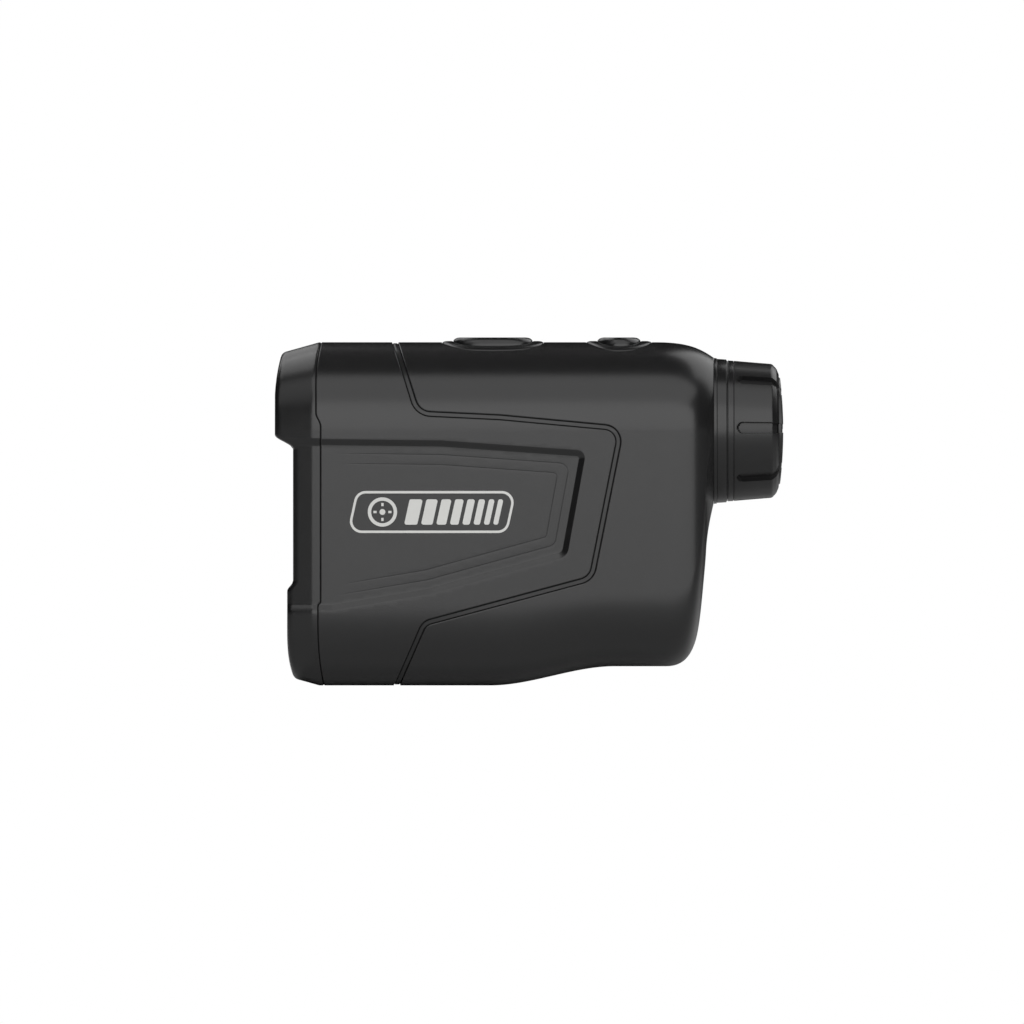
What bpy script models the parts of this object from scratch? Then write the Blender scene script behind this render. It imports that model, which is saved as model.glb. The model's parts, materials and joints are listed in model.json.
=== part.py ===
"""Hand-held laser rangefinder, modelled as the pieces it comes apart into.

Sizes are millimetres and are turned into metres by MM when a mesh is made.
Frame: +X runs from the objective (front) to the eyepiece (rear), +Z is up,
Y = 0 is the mid plane and Z = 0 is the flat foot under the body.
"""
import math

import bmesh
import bpy
from mathutils import Vector

MM = 0.001

# Driving dimensions
LENGTH = 104.0            # front of the hood to the end of the eyecup
HALF_WIDTH = 20.5         # body half width
BODY_TOP = 70.25          # top of the crowned body
EYE_AXIS = 52.1           # height of the viewing axis
RECEIVER_AXIS = 17.5      # height of the receiver axis
TOP_RISE = BODY_TOP - EYE_AXIS
BOTTOM_RISE = 17.5        # height of the rounding towards the foot
FOOT_HALF = 5.0           # half width of the flat foot
WALL = 2.0                # housing wall
GAP = 0.3                 # clearance between neighbouring pieces
FRONT = -LENGTH / 2       # x of the front of the hood

# Body stations along X, measured from the front of the hood
BEZEL_REAR = 9.05         # rear edge of the front bezel
BEZEL_BEVEL = 7.7         # where the bezel starts to taper towards the front
BEZEL_FACE = 3.75         # flat wall between the two hoods
HUMP_START = 44.0         # the underside rises behind the foot
HUMP_LENGTH = 25.5
HUMP_RISE = 3.92
BODY_REAR = 89.75         # rear rim, a circle around the viewing axis
RIM_RADIUS = 15.0

# Closing curves of the rear end as cubic Bezier points (station, value)
REAR_TOP = ((78.0, BODY_TOP), (84.5, BODY_TOP), (87.0, 69.0), (BODY_REAR, EYE_AXIS + RIM_RADIUS))
REAR_WIDTH = ((79.0, HALF_WIDTH), (85.0, HALF_WIDTH), (87.6, 18.2), (BODY_REAR, RIM_RADIUS))
REAR_BOTTOM = ((80.0, HUMP_RISE), (86.2, HUMP_RISE), (87.2, 10.0), (88.2, 27.0))
REAR_FILLET = ((88.2, 27.0), (88.35, 30.5), (88.9, 33.7), (BODY_REAR, EYE_AXIS - RIM_RADIUS))

# Seam between the housings, side view corners (station, height, fillet radius)
SEAM = ((24.7, 72.0, 0), (29.5, 56.3, 3.2), (46.0, 55.5, 0), (71.5, 53.1, 3.6),
        (65.2, 21.4, 4.0), (30.9, 12.2, 2.2), (25.2, -1.0, 0))
SEAL_FROM = 0.25          # seal strip, as distances in front of the seam
SEAL_TO = 0.95
SEAM_FRONT = 1.2          # where the front housing starts

# Shallow side panel of the front housing (station, height, fillet radius)
PANEL = ((5.0, 50.6, 0), (34.0, 50.1, 0), (63.6, 48.0, 1.6), (59.7, 26.4, 2.4),
         (31.7, 18.7, 0), (11.5, 15.3, 0), (5.0, 15.3, 0))
PANEL_DEPTH = 0.9
PANEL_SLOPE = 1.3         # width of its sloping walls
PANEL_CLEAR = 0.3         # how far its cutter stands out of the side

# Buttons: centre station, half length, half width, roundness of the outline
MEASURE = (44.6, 8.1, 6.4, 3.0)
MODE = (70.4, 4.4, 6.6, 2.2)
TRIM_BORDER = 2.2         # width of the trim plate around a button
TRIM_PROUD = 0.35
TRIM_DEEP = 0.6           # recess for the trim plate
BUTTON_PROUD = 1.0
BUTTON_CLEAR = 0.25
FLANGE_BORDER = 1.0

# Front optics
HOOD_BORE = 14.0
RECEIVER_HOOD_BORE = 12.4
BARREL_OUTER = 12.6
BARREL_BORE = 10.6
OBJECTIVE_RADIUS = 11.5
RECEIVER_OUTER = 11.4
RECEIVER_BORE = 9.2
RECEIVER_RADIUS = 10.3
BARREL_FRONT = 5.4

# Eyepiece
COLLAR_RADIUS = 14.8
TUBE_OUTER = 11.7
TUBE_INNER = 10.4
CELL_OUTER = 10.1
EYE_LENS_RADIUS = 8.2
RING_SLEEVE = 12.4
EYECUP_BORE = 12.7
EYECUP_SLOTS = 8
SLOT_WIDTH = 2.3
SLOT_FLOOR = 13.35
SLOT_OFFSET_DEG = 2.7

# Battery, a CR2 cell that lies behind a screw cap in the rear face
BATTERY_AXIS = RECEIVER_AXIS
BATTERY_RADIUS = 7.8
SLEEVE_INNER = 8.1
SLEEVE_OUTER = 8.9
CAP_RADIUS = 8.7
CAP_HOLE = 9.2

# Optical frame: a deck that lies on ledges in the front housing
DECK_LOW = 36.0
DECK_TOP = 38.0
LEDGE_LOW = 33.4
SCREW_SIDE = 16.2         # distance of the frame screws from the mid plane
FRAME_SCREWS = (27.0, 56.0)
BOARD_SCREWS = (48.0, 74.0)
BOARD_SCREW_HEIGHT = 30.2
LASER_STATION = 52.0      # the laser points up through the deck into the prisms
BEAM_RADIUS = 3.7
PRISM_HALF = 9.6


SIDES_FINE = 28
SIDES = 18
SIDES_SMALL = 10
ARC_STEPS = 8

FINISHES = {
    "black_shell": ((0.040, 0.040, 0.041, 1), 0.45, 0.0),
    "black_panel": ((0.045, 0.045, 0.046, 1), 0.50, 0.0),
    "soft_black": ((0.022, 0.022, 0.023, 1), 0.60, 0.0),
    "rubber": ((0.015, 0.015, 0.015, 1), 0.75, 0.0),
    "coated_glass": ((0.50, 0.60, 0.62, 1), 0.03, 0.0),
    "clear_glass": ((0.75, 0.80, 0.80, 1), 0.03, 0.0),
    "black_anodised": ((0.030, 0.030, 0.032, 1), 0.40, 0.8),
    "frame_plastic": ((0.060, 0.060, 0.062, 1), 0.55, 0.0),
    "board_green": ((0.020, 0.120, 0.060, 1), 0.45, 0.0),
    "chip_black": ((0.020, 0.020, 0.022, 1), 0.50, 0.0),
    "steel": ((0.560, 0.560, 0.570, 1), 0.30, 1.0),
    "brass": ((0.700, 0.520, 0.250, 1), 0.30, 1.0),
    "battery_wrap": ((0.060, 0.140, 0.320, 1), 0.35, 0.0),
}


def clear_scene():
    for item in list(bpy.data.objects):
        bpy.data.objects.remove(item, do_unlink=True)


def finish_material(name, finish):
    colour, roughness, metallic = FINISHES[finish]
    material = bpy.data.materials.new(f"{name}_{finish}")
    material.use_nodes = True
    shader = material.node_tree.nodes["Principled BSDF"]
    shader.inputs["Base Color"].default_value = colour
    shader.inputs["Roughness"].default_value = roughness
    shader.inputs["Metallic"].default_value = metallic
    return material


def add_object(name, finish, bm, centre=(0, 0, 0), smooth=False):
    """Close off a bmesh in millimetres as an object whose origin is at centre."""
    bmesh.ops.scale(bm, vec=(MM, MM, MM), verts=bm.verts)
    bmesh.ops.recalc_face_normals(bm, faces=bm.faces)
    for face in bm.faces:
        face.smooth = smooth
    mesh = bpy.data.meshes.new(name)
    bm.to_mesh(mesh)
    bm.free()
    item = bpy.data.objects.new(name, mesh)
    bpy.context.collection.objects.link(item)
    item.location = Vector(centre) * MM
    if finish:
        mesh.materials.append(finish_material(name, finish))
    else:
        item.hide_render = True
        item.display_type = "WIRE"
    return item


def shape(body, other, operation="DIFFERENCE"):
    """Cut, join or trim a body with another object."""
    modifier = body.modifiers.new(other.name, "BOOLEAN")
    modifier.operation = operation
    modifier.solver = "EXACT"
    modifier.object = other


def cubic(points, station):
    """Value of a Bezier curve at a station; stations grow along the curve."""
    low, high = 0.0, 1.0
    for _ in range(40):
        t = (low + high) / 2
        weights = ((1 - t) ** 3, 3 * t * (1 - t) ** 2, 3 * t * t * (1 - t), t ** 3)
        if sum(w * p[0] for w, p in zip(weights, points)) < station:
            low = t
        else:
            high = t
    return sum(w * p[1] for w, p in zip(weights, points))


def bezel_inset(station):
    """How far the bezel has tapered in from the body's outline."""
    if station >= BEZEL_REAR:
        return 0.0
    if station >= BEZEL_BEVEL:
        return 0.3 * (BEZEL_REAR - station) / (BEZEL_REAR - BEZEL_BEVEL)
    return 0.3 + 0.28 * (BEZEL_BEVEL - station)


def body_top(station):
    if station > REAR_TOP[0][0]:
        return cubic(REAR_TOP, station)
    return BODY_TOP - bezel_inset(station)


def body_half_width(station):
    if station > REAR_WIDTH[0][0]:
        return cubic(REAR_WIDTH, station)
    return HALF_WIDTH - bezel_inset(station)


def body_bottom(station):
    if station > REAR_FILLET[0][0]:
        return cubic(REAR_FILLET, station)
    if station > REAR_BOTTOM[0][0]:
        return cubic(REAR_BOTTOM, station)
    u = min(max((station - HUMP_START) / HUMP_LENGTH, 0), 1)
    return HUMP_RISE * u * u * (3 - 2 * u) + bezel_inset(station)


def foot_half(station):
    """Half width of the flat underside; it fades out into the round rear rim."""
    start = REAR_BOTTOM[0][0]
    u = min(max((station - start) / (BODY_REAR - start), 0), 1)
    return FOOT_HALF * (1 - u)


def body_ring(station, inset=0.0, look_ahead=0.0):
    """Closed section of the body: a half-ellipse top, straight sides, a flat foot."""
    at = min(station + look_ahead, BODY_REAR)
    top = body_top(at) - inset
    bottom = body_bottom(at) + inset
    half = body_half_width(at) - inset
    flat = foot_half(at)
    rise = min(BOTTOM_RISE - inset, EYE_AXIS - bottom)
    ring = []
    for i in range(2 * ARC_STEPS + 1):
        a = math.pi * i / (2 * ARC_STEPS)
        ring.append((FRONT + station, half * math.cos(a), EYE_AXIS + (top - EYE_AXIS) * math.sin(a)))
    for side in (-1, 1):
        for i in range(ARC_STEPS + 1):
            a = math.pi / 2 * (i if side < 0 else ARC_STEPS - i) / ARC_STEPS
            y = side * (flat + (half - flat) * math.cos(a))
            ring.append((FRONT + station, y, bottom + rise * (1 - math.sin(a))))
    return ring


def loft_mesh(rings):
    """Closed skin through rings of equal point count, with flat ends."""
    bm = bmesh.new()
    loops = [[bm.verts.new(point) for point in ring] for ring in rings]
    count = len(loops[0])
    for near, far in zip(loops, loops[1:]):
        for i in range(count):
            j = (i + 1) % count
            bm.faces.new((near[i], near[j], far[j], far[i]))
    bm.faces.new(loops[0])
    bm.faces.new(loops[-1])
    bmesh.ops.remove_doubles(bm, verts=bm.verts, dist=1e-4)
    bmesh.ops.dissolve_degenerate(bm, edges=bm.edges, dist=1e-4)
    bmesh.ops.triangulate(bm, faces=[f for f in bm.faces if len(f.verts) < 6])
    return bm


def body_loft(name, finish, stations, inset=0.0, look_ahead=0.0):
    rings = [body_ring(s, inset, look_ahead) for s in stations]
    return add_object(name, finish, loft_mesh(rings))


def turned(name, finish, profile, height, sides=SIDES, y=0.0, x=0.0, upright=False, smooth=True):
    """Turn a profile of (along, radius) points about a line parallel to X, or to Z if upright."""
    bm = bmesh.new()
    verts = [bm.verts.new((along, 0, radius)) for along, radius in profile]
    edges = []
    for a, b in zip(verts, verts[1:] + verts[:1]):
        if a.co.z > 0 or b.co.z > 0:
            edges.append(bm.edges.new((a, b)))
    bmesh.ops.spin(bm, geom=verts + edges, cent=(0, 0, 0), axis=(1, 0, 0),
                   angle=2 * math.pi, steps=sides, use_merge=True)
    bmesh.ops.remove_doubles(bm, verts=bm.verts, dist=1e-4)
    item = add_object(name, finish, bm, (x, y, height), smooth)
    if upright:
        item.rotation_euler = (0, -math.pi / 2, 0)
    return item


def along(*pairs):
    """Profile points given as (station, radius), moved to the frame's X."""
    return [(FRONT + station, radius) for station, radius in pairs]


def bore_profile(start, end, radius):
    """Profile of a plain rod or drilled hole."""
    return [(start, 0), (start, radius), (end, radius), (end, 0)]


def tube(name, finish, start, end, inner, outer, height, sides=SIDES):
    profile = along((start, inner), (end, inner), (end, outer), (start, outer))
    return turned(name, finish, profile, height, sides)


def rod(name, finish, start, end, radius, height, sides=SIDES):
    return turned(name, finish, bore_profile(FRONT + start, FRONT + end, radius), height, sides)


def lens(name, start, end, radius, front_bulge, rear_bulge, height):
    """Lens blank with a ground rim from start to end and domed faces."""
    points = [(start - front_bulge, 0)]
    for share in (0.35, 0.7):
        points.append((start - front_bulge * (1 - share * share), radius * share))
    points.append((start, radius))
    points.append((end, radius))
    for share in (0.7, 0.35):
        points.append((end + rear_bulge * (1 - share * share), radius * share))
    points.append((end + rear_bulge, 0))
    return turned(name, "coated_glass", along(*points), height, SIDES)


def block(name, finish, low, high):
    """Box between two corners; the X values are stations."""
    bm = bmesh.new()
    bmesh.ops.create_cube(bm, size=1)
    size = [b - a for a, b in zip(low, high)]
    middle = [(a + b) / 2 for a, b in zip(low, high)]
    bmesh.ops.scale(bm, vec=size, verts=bm.verts)
    return add_object(name, finish, bm, (FRONT + middle[0], middle[1], middle[2]))


def extruded(name, finish, outline, y_low, y_high):
    """Prism of a side view outline of (station, height) points."""
    bm = bmesh.new()
    face = bm.faces.new([bm.verts.new((FRONT + s, y_low, z)) for s, z in outline])
    grown = bmesh.ops.extrude_face_region(bm, geom=[face])
    moved = [v for v in grown["geom"] if isinstance(v, bmesh.types.BMVert)]
    bmesh.ops.translate(bm, vec=(0, y_high - y_low, 0), verts=moved)
    return add_object(name, finish, bm)


def ring_wall(name, start, end, height, outer, deck):
    """Wall across the body: a half-round around an axis on legs that run to the deck."""
    away = 1 if height > deck else -1
    angles = [math.pi * (i + 0.5) / ARC_STEPS for i in range(ARC_STEPS)]
    outline = [(outer, deck)] + [(outer * math.cos(a), height + away * outer * math.sin(a)) for a in angles]
    outline.append((-outer, deck))
    bm = bmesh.new()
    near = [bm.verts.new((FRONT + start, y, z)) for y, z in outline]
    grown = bmesh.ops.extrude_face_region(bm, geom=[bm.faces.new(near)])
    moved = [v for v in grown["geom"] if isinstance(v, bmesh.types.BMVert)]
    bmesh.ops.translate(bm, vec=(end - start, 0, 0), verts=moved)
    return add_object(name, None, bm)


def rounded(corners, steps=4):
    """Path through corners (station, height, radius), with each radius as an arc."""
    path = []
    for i, (s, z, radius) in enumerate(corners):
        here = Vector((s, z))
        if not radius:
            path.append(here)
            continue
        back = (Vector(corners[i - 1][:2]) - here).normalized()
        ahead = (Vector(corners[(i + 1) % len(corners)][:2]) - here).normalized()
        half = back.angle(ahead) / 2
        centre = here + (back + ahead).normalized() * radius / math.sin(half)
        start = here + back * radius / math.tan(half) - centre
        turn = start.angle_signed(here + ahead * radius / math.tan(half) - centre)
        for k in range(steps + 1):
            angle = math.atan2(start.y, start.x) - turn * k / steps
            path.append(centre + radius * Vector((math.cos(angle), math.sin(angle))))
    return path


def shifted(path, distance):
    """Path moved to its right by a distance; the end points keep their direction."""
    moved = []
    for i, point in enumerate(path):
        before = path[max(i - 1, 0)]
        after = path[min(i + 1, len(path) - 1)]
        first = (point - before).normalized()
        second = (after - point).normalized()
        if i == 0:
            first = second
        if i == len(path) - 1:
            second = first
        mean = (first + second).normalized()
        normal = Vector((mean.y, -mean.x))
        moved.append(point + normal * distance / max(mean.dot(first), 0.2))
    return moved


def seam_region(name, distance):
    """Everything in front of the seam line, moved forward by a distance."""
    path = [(p.x, p.y) for p in shifted(rounded(SEAM), distance)]
    front = -6.0
    outline = [(front, 80.0)] + [(path[0][0], 80.0)] + path + [(path[-1][0], -8.0), (front, -8.0)]
    return extruded(name, None, outline, -30.0, 30.0)


def panel_cutter(name, side):
    """Flared plug that leaves the shallow side panel with sloping walls."""
    outer = rounded(PANEL, 3)
    floor = shifted(outer, PANEL_SLOPE)
    deep = HALF_WIDTH - PANEL_DEPTH
    proud = HALF_WIDTH + PANEL_CLEAR
    rim = shifted(outer, -PANEL_CLEAR * PANEL_SLOPE / PANEL_DEPTH)
    bm = bmesh.new()
    low = [bm.verts.new((FRONT + p.x, side * deep, p.y)) for p in floor]
    high = [bm.verts.new((FRONT + p.x, side * proud, p.y)) for p in rim]
    for i in range(len(low)):
        j = (i + 1) % len(low)
        bm.faces.new((low[i], low[j], high[j], high[i]))
    bm.faces.new(low)
    bm.faces.new(high)
    bmesh.ops.triangulate(bm, faces=[f for f in bm.faces if len(f.verts) == 4])
    return add_object(name, None, bm)


def bezel_panel_cutter(name, side):
    """The same panel carried on over the tapered side of the bezel."""
    low, high = PANEL[-1][1], PANEL[0][1]
    flare = PANEL_CLEAR * PANEL_SLOPE / PANEL_DEPTH
    rings = []
    for station in (-1.0, BEZEL_BEVEL, BEZEL_REAR, BEZEL_REAR + 1.0):
        surface = body_half_width(station)
        deep = side * (surface - PANEL_DEPTH)
        proud = side * (surface + PANEL_CLEAR)
        rings.append([(FRONT + station, deep, low + PANEL_SLOPE), (FRONT + station, deep, high - PANEL_SLOPE),
                      (FRONT + station, proud, high + flare), (FRONT + station, proud, low - flare)])
    return add_object(name, None, loft_mesh(rings))


def crown(y, inset=0.0):
    """Height of the body's crowned top, or of its inner face."""
    half = HALF_WIDTH - inset
    return EYE_AXIS + (TOP_RISE - inset) * math.sqrt(1 - (y / half) ** 2)


def button_ring(button, grow, inset, offset, share=1.0, count=20):
    """Ring of points of a button's outline that follows the crown at an offset."""
    centre, half_length, half_width, roundness = button
    ring = []
    for i in range(count):
        a = 2 * math.pi * i / count
        c, s = math.cos(a), math.sin(a)
        x = math.copysign(abs(c) ** (2 / roundness), c) * (half_length + grow) * share
        y = math.copysign(abs(s) ** (2 / roundness), s) * (half_width + grow) * share
        ring.append((FRONT + centre + x, y, crown(y, inset) + offset))
    return ring


def crowned_solid(name, finish, rings, centre=(0, 0, 0), ends=True):
    """Skin over stacked rings; with ends it is capped, otherwise its last ring meets its first."""
    bm = bmesh.new()
    offset = Vector(centre)
    loops = [[bm.verts.new(Vector(point) - offset) for point in ring] for ring in rings]
    pairs = list(zip(loops, loops[1:]))
    if not ends:
        pairs.append((loops[-1], loops[0]))
    count = len(loops[0])
    for near, far in pairs:
        for i in range(count):
            j = (i + 1) % count
            bm.faces.new((near[i], near[j], far[j], far[i]))
    if ends:
        for loop in (loops[0], loops[-1]):
            middle = bm.verts.new(sum((v.co for v in loop), Vector()) / count)
            for i in range(count):
                bm.faces.new((loop[i], loop[(i + 1) % count], middle))
    bmesh.ops.triangulate(bm, faces=[f for f in bm.faces if len(f.verts) == 4])
    return add_object(name, finish, bm, centre)


def crowned_plug(name, button, grow, inset, low, high):
    """Cutter with crowned ends between two offsets from the body's top."""
    rings = [button_ring(button, grow, inset, low, 0.5),
             button_ring(button, grow, inset, low),
             button_ring(button, grow, inset, high),
             button_ring(button, grow, inset, high, 0.5)]
    return crowned_solid(name, None, rings)


def steps_between(start, end, count):
    return [start + (end - start) * i / count for i in range(count + 1)]


def make_cavity():
    """Inside of the housings, ending in front of the rear wall."""
    stations = [4.0, HUMP_START] + steps_between(48.0, 68.0, 4) + [80.0, 82.6, 84.4, 85.6, 86.3]
    return body_loft("cavity", None, stations, WALL, 1.9)


def make_bezel():
    """Front bezel with the two hoods and the sockets for both barrels."""
    bezel = body_loft("front_bezel", "soft_black", [-0.6, BEZEL_BEVEL, BEZEL_REAR])
    hood_end = 51.2
    side_view = [(-8.0, 80.0), (3.0, 80.0), (1.6, 69.2), (0.55, 65.0), (0.0, 59.0), (0.0, hood_end),
                 (BEZEL_FACE, 48.6), (BEZEL_FACE, 21.3), (2.55, 19.7), (2.6, 11.0), (3.1, 4.7),
                 (4.6, 0.6), (4.6, -8.0), (-8.0, -8.0)]
    shape(bezel, extruded("bezel_front_cut", None, side_view, -30.0, 30.0))
    inside = body_loft("bezel_inside", None, [6.6, 12.0], WALL, 4.0)
    shape(bezel, inside)
    sockets = (("objective_socket", HOOD_BORE, BARREL_OUTER + GAP, EYE_AXIS),
               ("receiver_socket", RECEIVER_HOOD_BORE, RECEIVER_OUTER + GAP, RECEIVER_AXIS))
    for name, hood, bore, height in sockets:
        steps = along((-3.0, 0), (-3.0, hood), (4.9, hood), (4.9, bore), (9.9, bore), (9.9, 0))
        shape(bezel, turned(name, None, steps, height, SIDES_FINE))
    for side in (-1, 1):
        shape(bezel, bezel_panel_cutter(f"bezel_panel_{side}", side))


def make_housings():
    """Front housing, rear housing and the seal strip between them."""
    cavity = make_cavity()
    hump = [HUMP_START] + steps_between(48.0, 68.0, 5)
    rear = steps_between(80.0, 86.0, 3) + [87.2, 88.0, 88.5, 89.1, BODY_REAR]

    front = body_loft("front_housing", "black_panel", [BEZEL_REAR + GAP, 20.0] + hump + [74.0])
    shape(front, cavity)
    shape(front, seam_region("front_limit", SEAM_FRONT), "INTERSECT")
    for side in (-1, 1):
        tag = "left" if side < 0 else "right"
        reach = sorted((side * 15.0, side * 19.4))
        ledge = block(f"ledge_{tag}", None, (24.0, reach[0], LEDGE_LOW), (62.0, reach[1], DECK_LOW - GAP))
        shape(front, ledge, "UNION")
        shape(front, panel_cutter(f"panel_{tag}", side))
        for station in FRAME_SCREWS:
            hole = turned(f"ledge_hole_{tag}_{int(station)}", None, bore_profile(-2.1, 2.6, 1.15), LEDGE_LOW,
                          SIDES_SMALL, side * SCREW_SIDE, FRONT + station, True)
            shape(front, hole)

    seal = body_loft("housing_seal", "rubber", [18.0] + hump + [74.0])
    shape(seal, cavity)
    shape(seal, seam_region("seal_front", SEAL_TO))
    shape(seal, seam_region("seal_limit", SEAL_FROM), "INTERSECT")

    back = body_loft("rear_housing", "black_shell", [20.0] + hump + [76.0] + rear)
    shape(back, cavity)
    shape(back, seam_region("rear_limit", 0.0))
    shape(back, rod("eye_bore", None, 84.0, 92.0, TUBE_OUTER + GAP, EYE_AXIS, SIDES_FINE))
    shape(back, rod("cap_bore", None, 80.0, 92.0, CAP_HOLE, BATTERY_AXIS, SIDES_FINE))
    shape(back, tube("ring_groove", None, 88.8, 92.0, 12.5, 14.1, EYE_AXIS, SIDES_FINE))
    for name, button in (("measure", MEASURE), ("mode", MODE)):
        shape(back, crowned_plug(f"{name}_recess", button, TRIM_BORDER + GAP, 0.0, -TRIM_DEEP, 3.0))
        shape(back, crowned_plug(f"{name}_hole", button, BUTTON_CLEAR, 0.0, -6.0, 4.0))


def make_buttons():
    """Two buttons with retaining flanges, their trim plates and their switches."""
    for name, button in (("measure", MEASURE), ("mode", MODE)):
        trim = [button_ring(button, BUTTON_CLEAR, 0.0, -0.3),
                button_ring(button, BUTTON_CLEAR, 0.0, TRIM_PROUD),
                button_ring(button, TRIM_BORDER - 0.25, 0.0, TRIM_PROUD),
                button_ring(button, TRIM_BORDER, 0.0, TRIM_PROUD - 0.25),
                button_ring(button, TRIM_BORDER, 0.0, -0.3)]
        crowned_solid(f"{name}_trim", "soft_black", trim, ends=False)
        flange = [button_ring(button, FLANGE_BORDER, WALL, -GAP - 0.8, 0.45),
                  button_ring(button, FLANGE_BORDER, WALL, -GAP - 0.8),
                  button_ring(button, FLANGE_BORDER, WALL, -GAP),
                  button_ring(button, 0.0, WALL, -GAP),
                  button_ring(button, 0.0, 0.0, BUTTON_PROUD - 0.6),
                  button_ring(button, -0.7, 0.0, BUTTON_PROUD),
                  button_ring(button, -2.0, 0.0, BUTTON_PROUD - 0.05),
                  button_ring(button, -2.8, 0.0, BUTTON_PROUD - 0.3),
                  button_ring(button, -2.8, 0.0, BUTTON_PROUD - 0.3, 0.4)]
        crowned_solid(f"{name}_button", "soft_black", flange, (FRONT + button[0], 0, BODY_TOP))
        half, base = 2.6, 64.7
        block(f"{name}_switch", "chip_black", (button[0] - half, -half, base),
              (button[0] + half, half, base + 1.5))
    block("button_board", "board_green", (38.0, -6.5, base - 1.3), (76.5, 6.5, base - GAP))


def make_front_optics():
    """Both front barrels with their lenses and seals, and the light sensor with its board."""
    barrel = along((BARREL_FRONT, 11.8), (10.9, 11.8), (10.9, BARREL_BORE), (36.0, BARREL_BORE),
                   (36.0, BARREL_OUTER), (BARREL_FRONT, BARREL_OUTER))
    turned("objective_barrel", "black_anodised", barrel, EYE_AXIS, SIDES_FINE)
    lens("objective_lens", 8.0, 10.3, OBJECTIVE_RADIUS, 1.2, 0.3, EYE_AXIS)
    tube("objective_retainer", "black_anodised", 5.7, 7.7, 10.6, 11.5, EYE_AXIS)
    seat = RECEIVER_RADIUS + 0.25
    ring = along((BARREL_FRONT, seat), (11.2, seat), (11.2, RECEIVER_BORE), (28.6, RECEIVER_BORE),
                 (28.6, 4.5), (30.0, 4.5), (30.0, RECEIVER_OUTER),
                 (BARREL_FRONT, RECEIVER_OUTER))
    turned("receiver_barrel", "black_anodised", ring, RECEIVER_AXIS, SIDES_FINE)
    lens("receiver_lens", 8.0, 10.6, RECEIVER_RADIUS, 1.1, 0.3, RECEIVER_AXIS)
    tube("receiver_retainer", "black_anodised", 5.7, 7.7, 9.4, RECEIVER_RADIUS, RECEIVER_AXIS)
    for name, radius, height in (("objective_o_ring", BARREL_OUTER, EYE_AXIS),
                                 ("receiver_o_ring", RECEIVER_OUTER, RECEIVER_AXIS)):
        tube(name, "rubber", 9.4, 10.2, radius + 0.2, radius + 1.2, height, SIDES_FINE)
    rod("apd_sensor", "steel", 27.4, 31.6, 4.1, RECEIVER_AXIS, SIDES_SMALL + 6)
    block("apd_board", "board_green", (31.9, -8.0, 9.5), (33.1, 8.0, 25.5))
    shield = block("receiver_shield", "steel", (33.4, -8.5, 9.0), (39.4, 8.5, 26.0))
    shape(shield, block("shield_inside", None, (33.0, -7.9, 9.6), (38.8, 7.9, 25.4)))


def make_frame():
    """Optical frame: a deck with two ring walls for the barrels and a rear wall for the display."""
    frame = block("optical_frame", "frame_plastic", (22.0, -17.2, DECK_LOW), (80.0, 17.2, DECK_TOP))
    rings = ((24.5, 27.5, RECEIVER_AXIS, 13.2, RECEIVER_OUTER + GAP, DECK_LOW + 0.5),
             (31.0, 34.0, EYE_AXIS, 15.2, BARREL_OUTER + GAP, DECK_TOP - 0.5),
             (72.6, 75.6, EYE_AXIS, 10.9, 7.6, DECK_TOP - 0.5))
    for i, (start, end, height, outer, bore, deck) in enumerate(rings):
        shape(frame, ring_wall(f"frame_wall_{i}", start, end, height, outer, deck), "UNION")
        shape(frame, rod(f"frame_bore_{i}", None, start - 1, end + 1, bore, height, SIDES_FINE))
    for station in (46.0, 72.0):
        post = block(f"post_{int(station)}", None, (station, 9.4, 28.0),
                     (station + 4.0, 11.9, DECK_LOW + 0.5))
        shape(frame, post, "UNION")
    drill = DECK_LOW - 2.0
    holes = [turned("beam_hole", None, bore_profile(0, 6, BEAM_RADIUS), drill, SIDES, 0,
                    FRONT + LASER_STATION, True)]
    for side in (-1, 1):
        for station in FRAME_SCREWS:
            holes.append(turned(f"deck_hole_{side}_{int(station)}", None, bore_profile(0, 6, 1.2), drill,
                                SIDES_SMALL, side * SCREW_SIDE, FRONT + station, True))
    for station in BOARD_SCREWS:
        hole = turned(f"post_hole_{int(station)}", None, bore_profile(-3, 3, 1.05), BOARD_SCREW_HEIGHT,
                      SIDES_SMALL, 10.6, FRONT + station)
        hole.rotation_euler = (0, 0, math.pi / 2)
        holes.append(hole)
    for hole in holes:
        shape(frame, hole)
    number = 0
    for side in (-1, 1):
        for station in FRAME_SCREWS:
            number += 1
            screw = [(0, 0), (0, 0.85), (4.9, 0.85), (4.9, 1.7), (6.1, 1.7), (6.1, 0)]
            turned(f"frame_screw_{number}", "steel", screw, LEDGE_LOW, SIDES_SMALL, side * SCREW_SIDE,
                   FRONT + station, True)


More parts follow.
